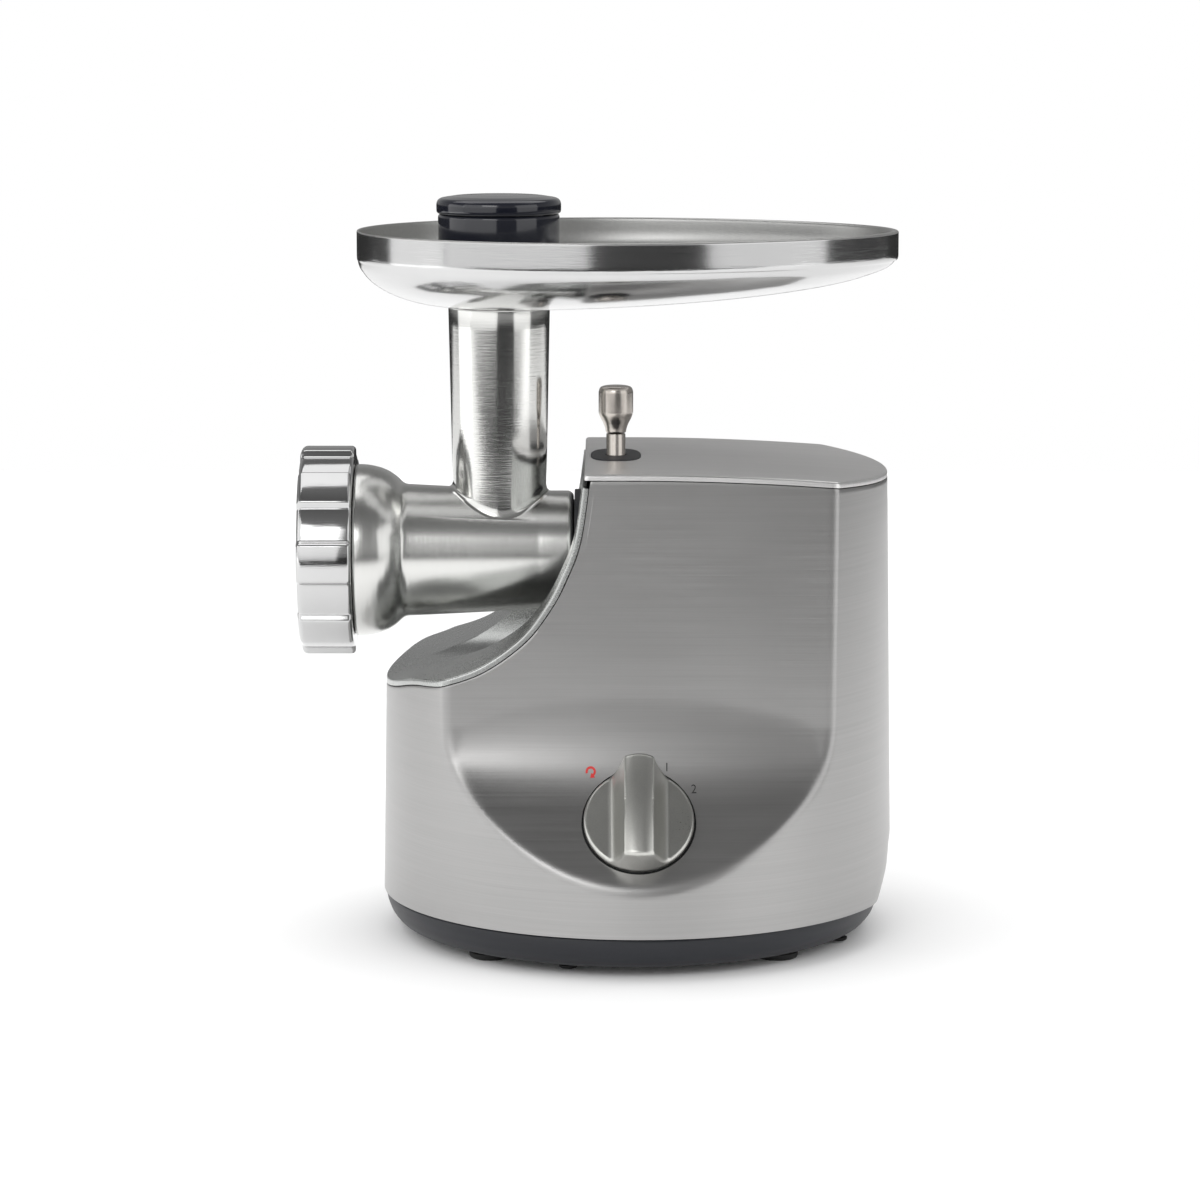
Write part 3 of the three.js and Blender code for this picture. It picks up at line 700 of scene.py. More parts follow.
# one row for each angle from the nose to the lid: where the skin starts, and its rim down to the seam
def saddleEdges():
    limit = housing["top"] - housing["seam"]
    edges = []
    for turn in reversed(housingTurns()):
        height = wallTop(turn, sorted(saddleLine))
        if height > limit or turn < math.pi / 2:
            break
        edge = wallPoint(turn, height)
        d = math.radians(0.05)
        ahead, back = wallPoint(turn - d, wallTop(turn - d, sorted(saddleLine))), edge
        if turn < math.pi - 1e-6:
            back = wallPoint(turn + d, wallTop(turn + d, sorted(saddleLine)))
        tangent = (ahead - back).normalized() if turn < math.pi - 1e-6 else Vector((0, 1, 0))
        across = wallPoint(turn - d, height) - wallPoint(turn + d, height)
        away = across.cross(Vector((0, 0, 1))).normalized()
        if away.dot(Vector((math.cos(turn), math.sin(turn), 0))) < 0:
            away = -away
        inner = saddleSlope(edge.x)
        down = tangent.cross(away).normalized()
        if down.dot(inner) < 0:
            down = -down
        into = inner.cross(tangent).normalized()
        if into.dot(away) > 0:
            into = -into
        size = saddle["edge"]
        start = edge + into * size
        column = []
        for k in range(1, 6):
            t = k / 5
            end = onWall(edge + down * (size / max(down.dot(inner), 0.3)))
            column.append(start * (1 - t) ** 2 + edge * 2 * t * (1 - t) + end * t * t)
        column.append(onWall(edge + down * (housing["lid"] / max(down.dot(inner), 0.3))))
        edges.append((start, column))
    return edges


def onWall(spot):
    turn = math.atan2(spot.y, spot.x)
    return wallPoint(turn, spot.z)


def buildSaddle():
    edges = saddleEdges()
    starts = [start for start, _ in edges]
    near = min(range(len(starts)), key=lambda i: abs(starts[i].x - saddle["endWall"]))
    starts[near].x = saddle["endWall"]
    starts[near].z = interpolate(saddleLine, saddle["endWall"])
    flats, arcs = 26, 100
    rows = []
    for i, spot in enumerate(starts):
        z = interpolate(saddleLine, spot.x)
        spot.z = z
        below = barrelZ - z
        turn = 0
        if i <= near and below < saddle["trough"]:
            turn = math.acos(below / saddle["trough"])
        rows.append(saddleRow(spot.x, z, max(spot.y, 0), turn, flats, arcs))
        if i == near:
            rows += endWallRows(rows[-1], turn, flats, arcs)
    sheet = gridObject("saddleCover", rows, recalc=False)
    facedAway(sheet, (20, 0, 60))
    columns = [[tuple(start)] + [tuple(p) for p in column] for start, column in edges]
    other = [[(x, -y, z) for x, y, z in column] for column in columns]
    rim = gridObject("saddleRim", other[::-1] + columns[1:], recalc=False)
    facedAway(rim, (-40, 0, 100))
    return joined(sheet, rim)


def saddleRow(x, z, reach, turn, flats, arcs):
    half = min(saddle["trough"] * math.sin(turn), reach)
    left = [(x, -reach + (reach - half) * i / flats, z) for i in range(flats)]
    middle = []
    for i in range(arcs + 1):
        a = turn * (2 * i / arcs - 1)
        if turn:
            middle.append((x, saddle["trough"] * math.sin(a), barrelZ - saddle["trough"] * math.cos(a)))
        else:
            middle.append((x, 0, z))
    right = [(x, half + (reach - half) * (i + 1) / flats, z) for i in range(flats)]
    return left + middle + right


# from the trough's last arc up the end wall to a straight line across
def endWallRows(full, turn, flats, arcs):
    wall, z = full[0][0], full[0][2]
    half = saddle["trough"] * math.sin(turn)
    middle = [(wall, half * (2 * i / arcs - 1), z) for i in range(arcs + 1)]
    flat = full[:flats] + middle + full[flats + arcs + 1:]
    return [[blendOf(a, b, s / 10) for a, b in zip(full, flat)] for s in range(1, 11)]


def joined(*objects):
    target = objects[0]
    work = bmesh.new()
    for obj in objects:
        work.from_mesh(obj.data)
    bmesh.ops.remove_doubles(work, verts=work.verts, dist=1e-5)
    work.to_mesh(target.data)
    work.free()
    for obj in objects[1:]:
        bpy.data.objects.remove(obj)
    return target


saddleCover = thickened(buildSaddle(), saddle["thickness"])
outlet = [(0, -60), (saddle["outlet"], -60), (saddle["outlet"], 10), (0, 10)]
cutWith(saddleCover, turned("collarCutter", outlet, (0, 0, barrelZ), "x"))
finished(saddleCover, "grinder", "saddleSheet", ["saddle_cover"], 34)
print("housing done")

# base pan, feet and screws
pan = {
    "x": -2.3, "depthScale": 1.034,
    "profile": [(0, 3), (97, 3), (104, 5), (107.4, 9), (109.4, 14.2), (109.6, 18), (106.5, 18), (104, 10),
                (96, 6.4), (0, 6.4)],
    "vents": 7, "ventPitch": 9, "ventX": 62, "ventLength": 34, "ventWidth": 3,
}
footPlaces = [(-64, -67), (60, -67), (-64, 67), (60, 67)]
screwPlaces = [(-84, 0), (88, -40), (-30, -92), (-30, 92)]


# copies of a template at the points of a carrier, as one plain mesh
def scattered(name, template, places, material):
    tree = bpy.data.node_groups.new(name + "Tree", "GeometryNodeTree")
    tree.interface.new_socket("Geometry", in_out="INPUT", socket_type="NodeSocketGeometry")
    tree.interface.new_socket("Template", in_out="INPUT", socket_type="NodeSocketObject")
    tree.interface.new_socket("Finish", in_out="INPUT", socket_type="NodeSocketMaterial")
    tree.interface.new_socket("Geometry", in_out="OUTPUT", socket_type="NodeSocketGeometry")
    net = Net(tree)
    entry = tree.nodes.new("NodeGroupInput")
    points, source, paint = (Level(net, entry.outputs[i]) for i in range(3))
    shape = net.add("GeometryNodeObjectInfo", {"transform_space": "ORIGINAL"}, {"Object": source},
                    output="Geometry")
    copies = net.add("GeometryNodeInstanceOnPoints", {}, {"Points": points, "Instance": shape})
    whole = net.add("GeometryNodeRealizeInstances", {}, {"Geometry": copies})
    painted = net.add("GeometryNodeSetMaterial", {}, {"Geometry": whole, "Material": paint})
    leave = tree.nodes.new("NodeGroupOutput")
    net.feed(leave.inputs[0], painted)
    mesh = bpy.data.meshes.new(name)
    mesh.from_pydata([toFrame(*p) for p in places], [], [])
    obj = bpy.data.objects.new(name, mesh)
    bpy.context.scene.collection.objects.link(obj)
    spread = obj.modifiers.new("spread", "NODES")
    spread.node_group = tree
    inputs = [item.identifier for item in tree.interface.items_tree if item.in_out == "INPUT"]
    spread[inputs[1]] = template
    spread[inputs[2]] = finishes[material]
    applied(obj)
    bpy.data.objects.remove(template)
    return obj


# a template is turned about the world's own origin
def template(name, profile, segments=40):
    home = (-homeX, -homeY, 0)
    return turned(name, rounded(profile, 0.4, 3), home, segments=segments)


def buildVentCutter():
    slot = meshObject("ventShape", *roundedSlot(pan["ventLength"] / 2, pan["ventWidth"] / 2, -4, 9))
    cleaned(slot)
    slot.data.transform(Matrix.Translation(-toFrame(0, 0, 0)))
    middle = (pan["vents"] - 1) / 2
    places = [(pan["ventX"], (i - middle) * pan["ventPitch"], 3) for i in range(pan["vents"])]
    return scattered("ventCutter", slot, places, "panPlastic")


def roundedSlot(halfLength, radius, low, high):
    outline = []
    for side in (1, -1):
        for i in range(13):
            turn = math.radians(-90 + 15 * i) if side > 0 else math.radians(90 + 15 * i)
            outline.append((side * (halfLength - radius) + radius * math.cos(turn), radius * math.sin(turn)))
    count = len(outline)
    points = [(x, y, low) for x, y in outline] + [(x, y, high) for x, y in outline]
    faces = [tuple(reversed(range(count))), tuple(range(count, 2 * count))]
    faces += [(i, (i + 1) % count, count + (i + 1) % count, count + i) for i in range(count)]
    return points, faces


basePan = turned("basePan", rounded(pan["profile"], 1.6, 4), (pan["x"], 0, 0), segments=220,
                 scaleY=pan["depthScale"])
cutWith(basePan, buildVentCutter())
holeTemplate = template("holeShape", [(0, -2), (2.4, -2), (2.4, 9), (0, 9)], 24)
cutWith(basePan, scattered("holeCutter", holeTemplate, [(x, y, 3) for x, y in screwPlaces], "panPlastic"))
cutWith(basePan, turned("buttonCutter", [(0, 0), (4.5, 0), (4.5, 12), (0, 12)], (20, -42, 0), segments=40))
finished(basePan, "grinder", "panPlastic", ["base_pan"])

footShape = template("footShape", [(0, 0), (8.4, 0), (9.2, 0.9), (9.2, 2.7), (0, 2.7)], 48)
feet = scattered("rubberFeet", footShape, [(x, y, 0) for x, y in footPlaces], "footRubber")
finished(feet, "grinder", "footRubber", ["foot_1", "foot_2", "foot_3", "foot_4"])
screwShape = template("screwShape", [(0, 1.5), (1.1, 1.5), (1.2, 1.2), (3.4, 1.2), (4, 1.8), (4, 2.7),
                                     (2, 2.7),
                                     (2, 15), (0, 15)], 32)
for sign in (1, -1):
    cross = meshObject("crossCut", *roundedSlot(2.6, 0.45, 0, 1.9))
    cleaned(cross)
    cross.data.transform(Matrix.Rotation(math.pi / 2 * (sign > 0), 4, "Z")
                         @ Matrix.Translation(-toFrame(0, 0, 0)))
    cutWith(screwShape, cross)
screws = scattered("baseScrews", screwShape, [(x, y, 0) for x, y in screwPlaces], "blackScrew")
finished(screws, "grinder", "blackScrew",
         ["base_screw_1", "base_screw_2", "base_screw_3", "base_screw_4"])
resetProfile = [(0, 1.3), (4, 1.3), (4, 9), (6, 9), (6, 10.5), (0, 10.5)]
resetButton = turned("resetButton", rounded(resetProfile, 0.5), (20, -42, 0), segments=48)
finished(resetButton, "reset", "footRubber", ["reset_button"])
glandProfile = [(3.6, -9), (8, -9), (8, 0.6), (10.5, 0.6), (10.5, 2.4), (7.2, 3.0), (6.8, 4.0), (6.9, 4.6),
                (6.4, 5.0),
                (6.5, 5.6), (6.2, 6), (3.6, 6)]
cordGland = radially(turned("cordGland", closedLoop(rounded(glandProfile, 0.35, 3)), segments=64))
finished(cordGland, "grinder", "footRubber", ["cord_gland"])
print("base done")

# release pin and its trim
neck = 220.6
knobHead = [(0, neck - 4), (2.2, neck - 4), (2.2, neck), (4.4, neck), (4.7, neck + 2), (5.5, neck + 4.2),
            (6.8, neck + 6.6), (7.6, neck + 8.6), (7.6, 239.2), (6.9, 240.9), (5, 241.5), (0, 241.8)]
releaseKnob = turned("releaseKnob", rounded(knobHead, 0.9, 4), (trim["x"], 0, 0))
finished(releaseKnob, "release", "nickelPin", ["release_knob"], 36)
pinProfile = [(0, 186.6), (3.2, 186.6), (4.2, 188), (4.2, 191.4), (7.4, 191.4), (7.4, 193), (4.2, 193),
              (4.2, 220.3), (2.6, 220.3), (2.6, 211.6), (0, 211.6)]
releasePin = turned("releasePin", rounded(pinProfile, 0.25, 2), (trim["x"], 0, 0), segments=64)
finished(releasePin, "release", "nickelPin", ["release_pin"])


def buildTrim():
    rows = []
    for inset, z in [(0, 208.6), (0, 210.5), (0.1, 210.8), (0.35, 211.02), (0.8, trim["top"])]:
        rows.append([trimPoint(inset, z, 2 * math.pi * i / 128) for i in range(128)])
    outer = rows[-1]
    ring = [(trim["x"] + 5.2 * math.cos(t), 5.2 * math.sin(t), trim["top"])
            for t in [2 * math.pi * i / 128 for i in range(128)]]
    rows += [[blendOf(a, b, s) for a, b in zip(outer, ring)] for s in (0.4, 1)]
    for radius, z in [(4.7, 210.8), (4.7, 208.4)]:
        rows.append([(trim["x"] + radius * math.cos(t), radius * math.sin(t), z)
                     for t in [2 * math.pi * i / 128 for i in range(128)]])
    rows.append(rows[0])
    return gridObject("pinTrim", rows, closed=True)


finished(buildTrim(), "grinder", "trimPlastic", ["pin_trim"])


def buildSpring():
    rows = []
    turns, wire, steps = 4, 0.45, 160
    for i in range(steps + 1):
        t = 2 * math.pi * turns * i / steps
        z = 194.2 + 12.6 * i / steps
        row = []
        for k in range(10):
            a = 2 * math.pi * k / 10
            radius = 6.2 + wire * math.cos(a)
            row.append((trim["x"] + radius * math.cos(t), radius * math.sin(t), z + wire * math.sin(a)))
        rows.append(row)
    for end in (0, -1):
        middle = tuple(sum(p[i] for p in rows[end]) / 10 for i in range(3))
        rows.insert(0 if end == 0 else len(rows), [middle] * 10)
    return gridObject("pinSpring", rows, closed=True)


pinSpring = buildSpring()
finished(pinSpring, "grinder", "machinedSteel", ["pin_spring"])
springTop = tuple(toFrame(trim["x"], 0, 207.4))
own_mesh(pinSpring)
collarProfile = [(22.3, -27.9), (27, -27.9), (27, -4), (33, -4), (33, 1.7), (22.3, 1.7)]
outletCollar = turned("outletCollar", closedLoop(rounded(collarProfile, 0.6)), (0, 0, barrelZ), "x")
pinHole = turned("pinHole", [(0, 180), (8.6, 180), (8.6, 215), (0, 215)], (trim["x"], 0, 0), segments=48)
cutWith(outletCollar, pinHole)
finished(outletCollar, "grinder", "collarPlastic", ["outlet_collar"])

# control knob: a dished disc with a flared grip across it
grip = {"radius": 23.5, "dish": 4.6, "height": 21.9, "halfTop": 6.2, "flare": 13.2}


def gripHeight(u, v):
    a = abs(u)
    span = grip["flare"] - grip["halfTop"]
    share = min(max((a - grip["halfTop"]) / span, 0), 1)
    rise = (1 - share) ** 2.1
    crest = grip["height"] - 1.2 * (v / grip["radius"]) ** 2 - 2.2 * (0.5 - 0.5 * v / grip["radius"]) ** 2
    crest -= 1.3 * min(a / grip["halfTop"], 1) ** 2.5
    return grip["dish"] + (crest - grip["dish"]) * rise


def buildKnob():
    columns = 360
    turns = [2 * math.pi * i / columns for i in range(columns)]
    rows = [[(0, 0, gripHeight(0, 0))] * columns]
    count = 40
    soft = 1.4
    for j in range(1, count + 1):
        radius = (grip["radius"] - soft) * j / count
        rows.append([(radius * math.cos(t), radius * math.sin(t),
                      gripHeight(radius * math.cos(t), radius * math.sin(t))) for t in turns])
    for k in range(1, 7):
        a = math.radians(15 * k)
        radius = grip["radius"] - soft + soft * math.sin(a)
        drop = soft * (1 - math.cos(a))
        rows.append([(radius * math.cos(t), radius * math.sin(t),
                      gripHeight(radius * math.cos(t), radius * math.sin(t)) - drop) for t in turns])
    edge = [p[2] for p in rows[-1]]
    for s in (0.2, 0.4, 0.6, 0.8, 1):
        rows.append([(grip["radius"] * math.cos(t), grip["radius"] * math.sin(t), e + (0.3 - e) * s)
                     for t, e in zip(turns, edge)])
    for radius, z in [(grip["radius"] - 0.5, -0.8), (4.3, -0.8), (4.3, 3.6), (0, 3.6)]:
        rows.append([(radius * math.cos(t), radius * math.sin(t), z) for t in turns])
    return placedOnPanel(gridObject("controlKnob", rows, closed=True))


finished(buildKnob(), "knob", "knobSilver", ["control_knob"], 40)
# a black ring at the floor of the knob's well: a dark sheet that paints the shade in the gap round the knob
gapShadeProfile = [(19, -1.18), (24.35, -1.18), (24.35, -0.95), (19, -0.95)]
gapShadeRing = turned("knobSeal", closedLoop(gapShadeProfile), segments=160)
finished(placedOnPanel(gapShadeRing), "grinder", "trimPlastic", [])
print("controls done")


# marks above the knob, laid onto the cove
marks = {"height": 3.7, "proud": 0.05, "places": [("O", -1.7, 88.6), ("1", 12, 86), ("2", 23.5, 77.3)]}


def laidOnCove(obj, x, z):
    mesh = obj.data
    for vertex in mesh.vertices:
        u, v = x + vertex.co.x, z + vertex.co.y
        y = -(facetReach(v, u) + marks["proud"] + vertex.co.z)
        vertex.co = toFrame(u, y, v)
    return obj


def divided(obj, cuts):
    work = bmesh.new()
    work.from_mesh(obj.data)
    bmesh.ops.triangulate(work, faces=work.faces)
    bmesh.ops.subdivide_edges(work, edges=[e for e in work.edges if e.calc_length() > 0.7], cuts=cuts)
    bmesh.ops.triangulate(work, faces=work.faces)
    work.to_mesh(obj.data)
    work.free()
    return obj


def buildDigit(text, x, z):
    curve = bpy.data.curves.new("markText", "FONT")
    curve.body = text
    curve.size = marks["height"] * 1.35
    curve.align_x = "CENTER"
    curve.align_y = "CENTER"
    curve.extrude = 0.04
    curve.resolution_u = 6
    obj = bpy.data.objects.new("mark" + text, curve)
    bpy.context.scene.collection.objects.link(obj)
    bpy.context.view_layer.update()
    mesh = bpy.data.meshes.new_from_object(obj.evaluated_get(bpy.context.evaluated_depsgraph_get()))
    bpy.data.objects.remove(obj)
    flat = bpy.data.objects.new("mark" + text, mesh)
    bpy.context.scene.collection.objects.link(flat)
    cleaned(flat, distance=1e-4)
    divided(flat, 1)
    return laidOnCove(flat, x, z)


# reverse sign: most of a ring that ends in an arrow head
def buildReverseMark(x, z):
    outline = []
    spans = [math.radians(200 - 250 * i / 24) for i in range(25)]
    outer = [(2.2 * math.cos(a), 2.2 * math.sin(a)) for a in spans]
    inner = [(1.25 * math.cos(a), 1.25 * math.sin(a)) for a in reversed(spans)]
    end = spans[-1]
    side = Vector((math.sin(end), -math.cos(end)))
    out = Vector((math.cos(end), math.sin(end)))
    head = [tuple(out * 3.0), tuple(out * 1.75 + side * 1.8), tuple(out * 0.5)]
    outline = outer + head + inner
    count = len(outline)
    points = [(u, v, -0.04) for u, v in outline] + [(u, v, 0.04) for u, v in outline]
    faces = [tuple(reversed(range(count))), tuple(range(count, 2 * count))]
    faces += [(i, (i + 1) % count, count + (i + 1) % count, count + i) for i in range(count)]
    mesh = bpy.data.meshes.new("reverseMark")
    mesh.from_pydata(points, [], faces)
    obj = bpy.data.objects.new("reverseMark", mesh)
    bpy.context.scene.collection.objects.link(obj)
    cleaned(obj, distance=1e-4)
    divided(obj, 1)
    return laidOnCove(obj, x, z)


for text, x, z in marks["places"]:
    finished(buildDigit(text, x, z), "grinder", "darkMark", [])
finished(buildReverseMark(-20.5, 84.3), "grinder", "redMark", [])

# grinding head: turned barrel and flared feed tube in one casting
head = {
    "barrel": [(31.3, -141), (36.4, -141), (36.4, -124.7), (37.4, -124.4), (37.9, -123.6), (37.9, -121.5),
               (37.7, -119), (37.2, -116.2), (36.4, -113.2), (35.2, -110.4), (33.7, -107.9), (32.1, -105.9),
               (30.7, -104.5), (29.7, -103.3), (29.2, -101.8), (28.9, -96), (26.3, -43.7),
               (26.3, -30.2), (24.8, -28.3), (22, -28.3),
               (22, -3), (9.5, -3), (9.5, -36), (24, -36), (24, -128), (31.3, -128)],
    "tubeTop": 276.6, "tubeRadius": 22.3, "tubeLowRadius": 20.6, "filletIn": 2.6, "filletUp": 3.4,
    "bore": 18.2, "socket": 20, "socketFloor": 262,
}


def barrelRadius(x):
    return interpolate([(-102.8, 29.3), (-43.7, 26.3)], x)


def barrelSurface(x, y):
    return barrelZ + math.sqrt(max(barrelRadius(x) ** 2 - y * y, 0.5))


def tubeRadius(z):
    return interpolate([(195, head["tubeLowRadius"]), (head["tubeTop"], head["tubeRadius"])], z)


def buildHead():
    body = turned("headCasting", closedLoop(rounded(head["barrel"], 1.0, 4)), (0, 0, barrelZ), "x", 160)
    columns = 144
    turns = [2 * math.pi * i / columns for i in range(columns)]
    low = head["tubeLowRadius"]
    fillet = []
    for t in turns:
        c, s = math.cos(t), math.sin(t)
        away = head["filletIn"] * (0.55 + 0.45 * abs(c))
        foot = (tubeX + (low + away) * c, (low + away) * s)
        crease = barrelSurface(tubeX + low * c, low * s)
        end = (foot[0], foot[1], barrelSurface(*foot) - 0.12)
        bend = (tubeX + low * c, low * s, crease)
        start = (bend[0], bend[1], crease + head["filletUp"])
        fillet.append((start, bend, end))
    rows = [[(tubeX, 0, barrelZ)] * columns]
    rows.append([(e[0], e[1], e[2] - 3) for _, _, e in fillet])
    steps = 14
    for k in range(steps, -1, -1):
        u = k / steps
        rows.append([tuple(a * (1 - u) ** 2 + b * 2 * u * (1 - u) + c * u * u for a, b, c in zip(s, m, e))
                     for s, m, e in fillet])
    top = head["tubeTop"]
    for k in range(1, 10):
        share = k / 10
        row = []
        for (start, _, _), t in zip(fillet, turns):
            z = start[2] + (top - 1.0 - start[2]) * share
            row.append((tubeX + tubeRadius(z) * math.cos(t), tubeRadius(z) * math.sin(t), z))
        rows.append(row)
    for inset, z in [(0, top - 1.0), (0.15, top - 0.5), (0.5, top - 0.12), (1.0, top)]:
        radius = tubeRadius(z) - inset
        rows.append([(tubeX + radius * math.cos(t), radius * math.sin(t), z) for t in turns])
    rows.append([(tubeX, 0, top)] * columns)
    chimney = gridObject("chimney", rows, closed=True)
    cutWith(body, chimney, "UNION")
    flue = [(0, barrelZ), (head["bore"], barrelZ), (head["bore"], head["socketFloor"]),
            (head["socket"], head["socketFloor"]), (head["socket"], 276), (head["socket"] + 1.2, 278),
            (0, 278)]
    cutWith(body, turned("flueCutter", flue, (tubeX, 0, 0), segments=144))
    notchProfile = [(0, 185.6), (4.7, 185.6), (4.7, 200), (0, 200)]
    notch = turned("notchCutter", notchProfile, (trim["x"], 0, 0), segments=40)
    return cutWith(body, notch)


headCasting = finished(buildHead(), "grinder", "castHead", ["head_casting"], 36)
headCasting.data.materials.append(finishes["castTube"])
for face in headCasting.data.polygons:
    upright = math.hypot(face.center.x * 1000 - homeX - tubeX, face.center.y * 1000 - homeY)
    if face.center.z * 1000 > barrelZ + 8 and upright < head["tubeRadius"] + 0.2:
        face.material_index = 1

# ring nut with rounded tabs
nut = {"front": -148.4, "back": -124.7, "radius": 46, "valley": 43.6, "lobes": 8, "tabHalf": 11.5,
       "slope": 3.5}


def lobeRadius(turn):
    pitch = 360 / nut["lobes"]
    away = abs((math.degrees(turn) + pitch / 2) % pitch - pitch / 2)
    share = min(max((away - nut["tabHalf"] + nut["slope"] / 2) / nut["slope"], 0), 1)
    fall = share * share * (3 - 2 * share)
    return nut["radius"] + (nut["valley"] - nut["radius"]) * fall


def buildNut():
    front, back = nut["front"], nut["back"]
    columns = 640
    turns = [2 * math.pi * i / columns for i in range(columns)]
    fixed = [(36.8, back, 0), (36.8, -142.1, 0), (28, -142.1, 0), (28, front + 4.4, 0),
             (28.3, front + 3.4, 0),
             (31.0, front + 0.5, 0), (32.0, front + 0.1, 0), (33.0, front, 0)]
    outer = []
    for k in range(7):
        a = math.radians(15 * k)
        outer.append((-3.0 + 3.0 * math.sin(a), front + 2.6 * (1 - math.cos(a)), 1))
    outer += [(0, front + 8, 1), (0, back - 7, 1)]
    for k in range(7):
        a = math.radians(15 * k)
        outer.append((-1.8 + 1.8 * math.cos(a), back - 1.8 + 1.8 * math.sin(a), 1))
    rows = []
    for radius, x, lobed in fixed + outer + [(38, back, 0), (36.8, back, 0)]:
        row = []
        for t in turns:
            r = radius + lobeRadius(t) if lobed else radius
            row.append((x, r * math.cos(t), barrelZ + r * math.sin(t)))
        rows.append(row)
    return gridObject("ringNut", rows, closed=True)


finished(buildNut(), "nut", "chromeNut", ["ring_nut"], 36)

# perforated plate
plate = {"radius": 31, "hole": 4, "middle": 4.8, "pitch": 10.4, "front": -142.4, "thickness": 6}


def perforatedPlate(name, material):
    tree = bpy.data.node_groups.new(name + "Tree", "GeometryNodeTree")
    tree.interface.new_socket("Geometry", in_out="INPUT", socket_type="NodeSocketGeometry")
    for label in ("Plate Radius", "Hole Radius", "Middle Radius", "Pitch", "Thickness"):
        tree.interface.new_socket(label, in_out="INPUT", socket_type="NodeSocketFloat")
    tree.interface.new_socket("Finish", in_out="INPUT", socket_type="NodeSocketMaterial")
    tree.interface.new_socket("Geometry", in_out="OUTPUT", socket_type="NodeSocketGeometry")
    net = Net(tree)
    entry = tree.nodes.new("NodeGroupInput")
    rim, hole, middle, pitch, depth, paint = (Level(net, entry.outputs[i]) for i in range(1, 7))
    wide = pitch * 2

    def circle(radius, points):
        return net.add("GeometryNodeCurvePrimitiveCircle", {"mode": "RADIUS"},
                       {"Resolution": points, "Radius": radius})

    inner = net.add("GeometryNodeMeshCircle", {}, {"Vertices": 6, "Radius": pitch})
    outer = net.add("GeometryNodeMeshCircle", {}, {"Vertices": 12, "Radius": wide})
    join = tree.nodes.new("GeometryNodeJoinGeometry")
    for part in (inner, outer):
        tree.links.new(part.socket, join.inputs[0])
    holes = net.add("GeometryNodeInstanceOnPoints", {}, {"Points": Level(net, join.outputs[0]),
                                                        "Instance": circle(hole, 40)})
    loops = tree.nodes.new("GeometryNodeJoinGeometry")
    bored = net.add("GeometryNodeRealizeInstances", {}, {0: holes})
    for part in (circle(rim, 160), circle(middle, 40), bored):
        tree.links.new(part.socket, loops.inputs[0])
    face = net.add("GeometryNodeFillCurve", {"mode": "TRIANGLES"}, {0: Level(net, loops.outputs[0])})
    raised = net.add("GeometryNodeExtrudeMesh", {},
                     {"Mesh": face, "Offset Scale": depth, "Individual": False})
    under = net.add("GeometryNodeFlipFaces", {}, {"Mesh": face})
    both = tree.nodes.new("GeometryNodeJoinGeometry")
    for part in (raised, under):
        tree.links.new(part.socket, both.inputs[0])
    merged = net.add("GeometryNodeMergeByDistance", {}, {"Geometry": Level(net, both.outputs[0])})
    whole = net.add("GeometryNodeRealizeInstances", {}, {"Geometry": merged})
    painted = net.add("GeometryNodeSetMaterial", {}, {"Geometry": whole, "Material": paint})
    leave = tree.nodes.new("NodeGroupOutput")
    net.feed(leave.inputs[0], painted)
    obj = bpy.data.objects.new(name, bpy.data.meshes.new(name))
    bpy.context.scene.collection.objects.link(obj)
    punch = obj.modifiers.new("punch", "NODES")
    punch.node_group = tree
    inputs = [item.identifier for item in tree.interface.items_tree if item.in_out == "INPUT"][1:]
    sizes = [plate[k] / 1000 for k in ("radius", "hole", "middle", "pitch", "thickness")]
    for key, value in zip(inputs, sizes + [finishes[material]]):
        punch[key] = value
    return applied(obj)


screen = perforatedPlate("screenPlate", "machinedSteel")
plateHome = Matrix.Translation(toFrame(plate["front"], 0, barrelZ))
screen.data.transform(plateHome @ Matrix.Rotation(math.pi / 2, 4, "Y"))
cleaned(screen)
finished(screen, "plate", "machinedSteel", ["screen"])
print("head done")

# tray: one skin from the spigot out to the rim and back
tray = {"left": -123.2, "right": 114, "halfWidth": 87, "rim": 310, "foot": 296, "floor": 277, "skin": 2.4,
        "columns": 240, "collar": 19.7}


def trayEdge(turn):
    c = math.cos(turn)
    half = (tray["right"] - tray["left"]) / 2
    width = math.sin(turn) * tray["halfWidth"] * (1 - 0.1 * c - 0.05 * c * c)
    return (tray["left"] + half + c * half, width)


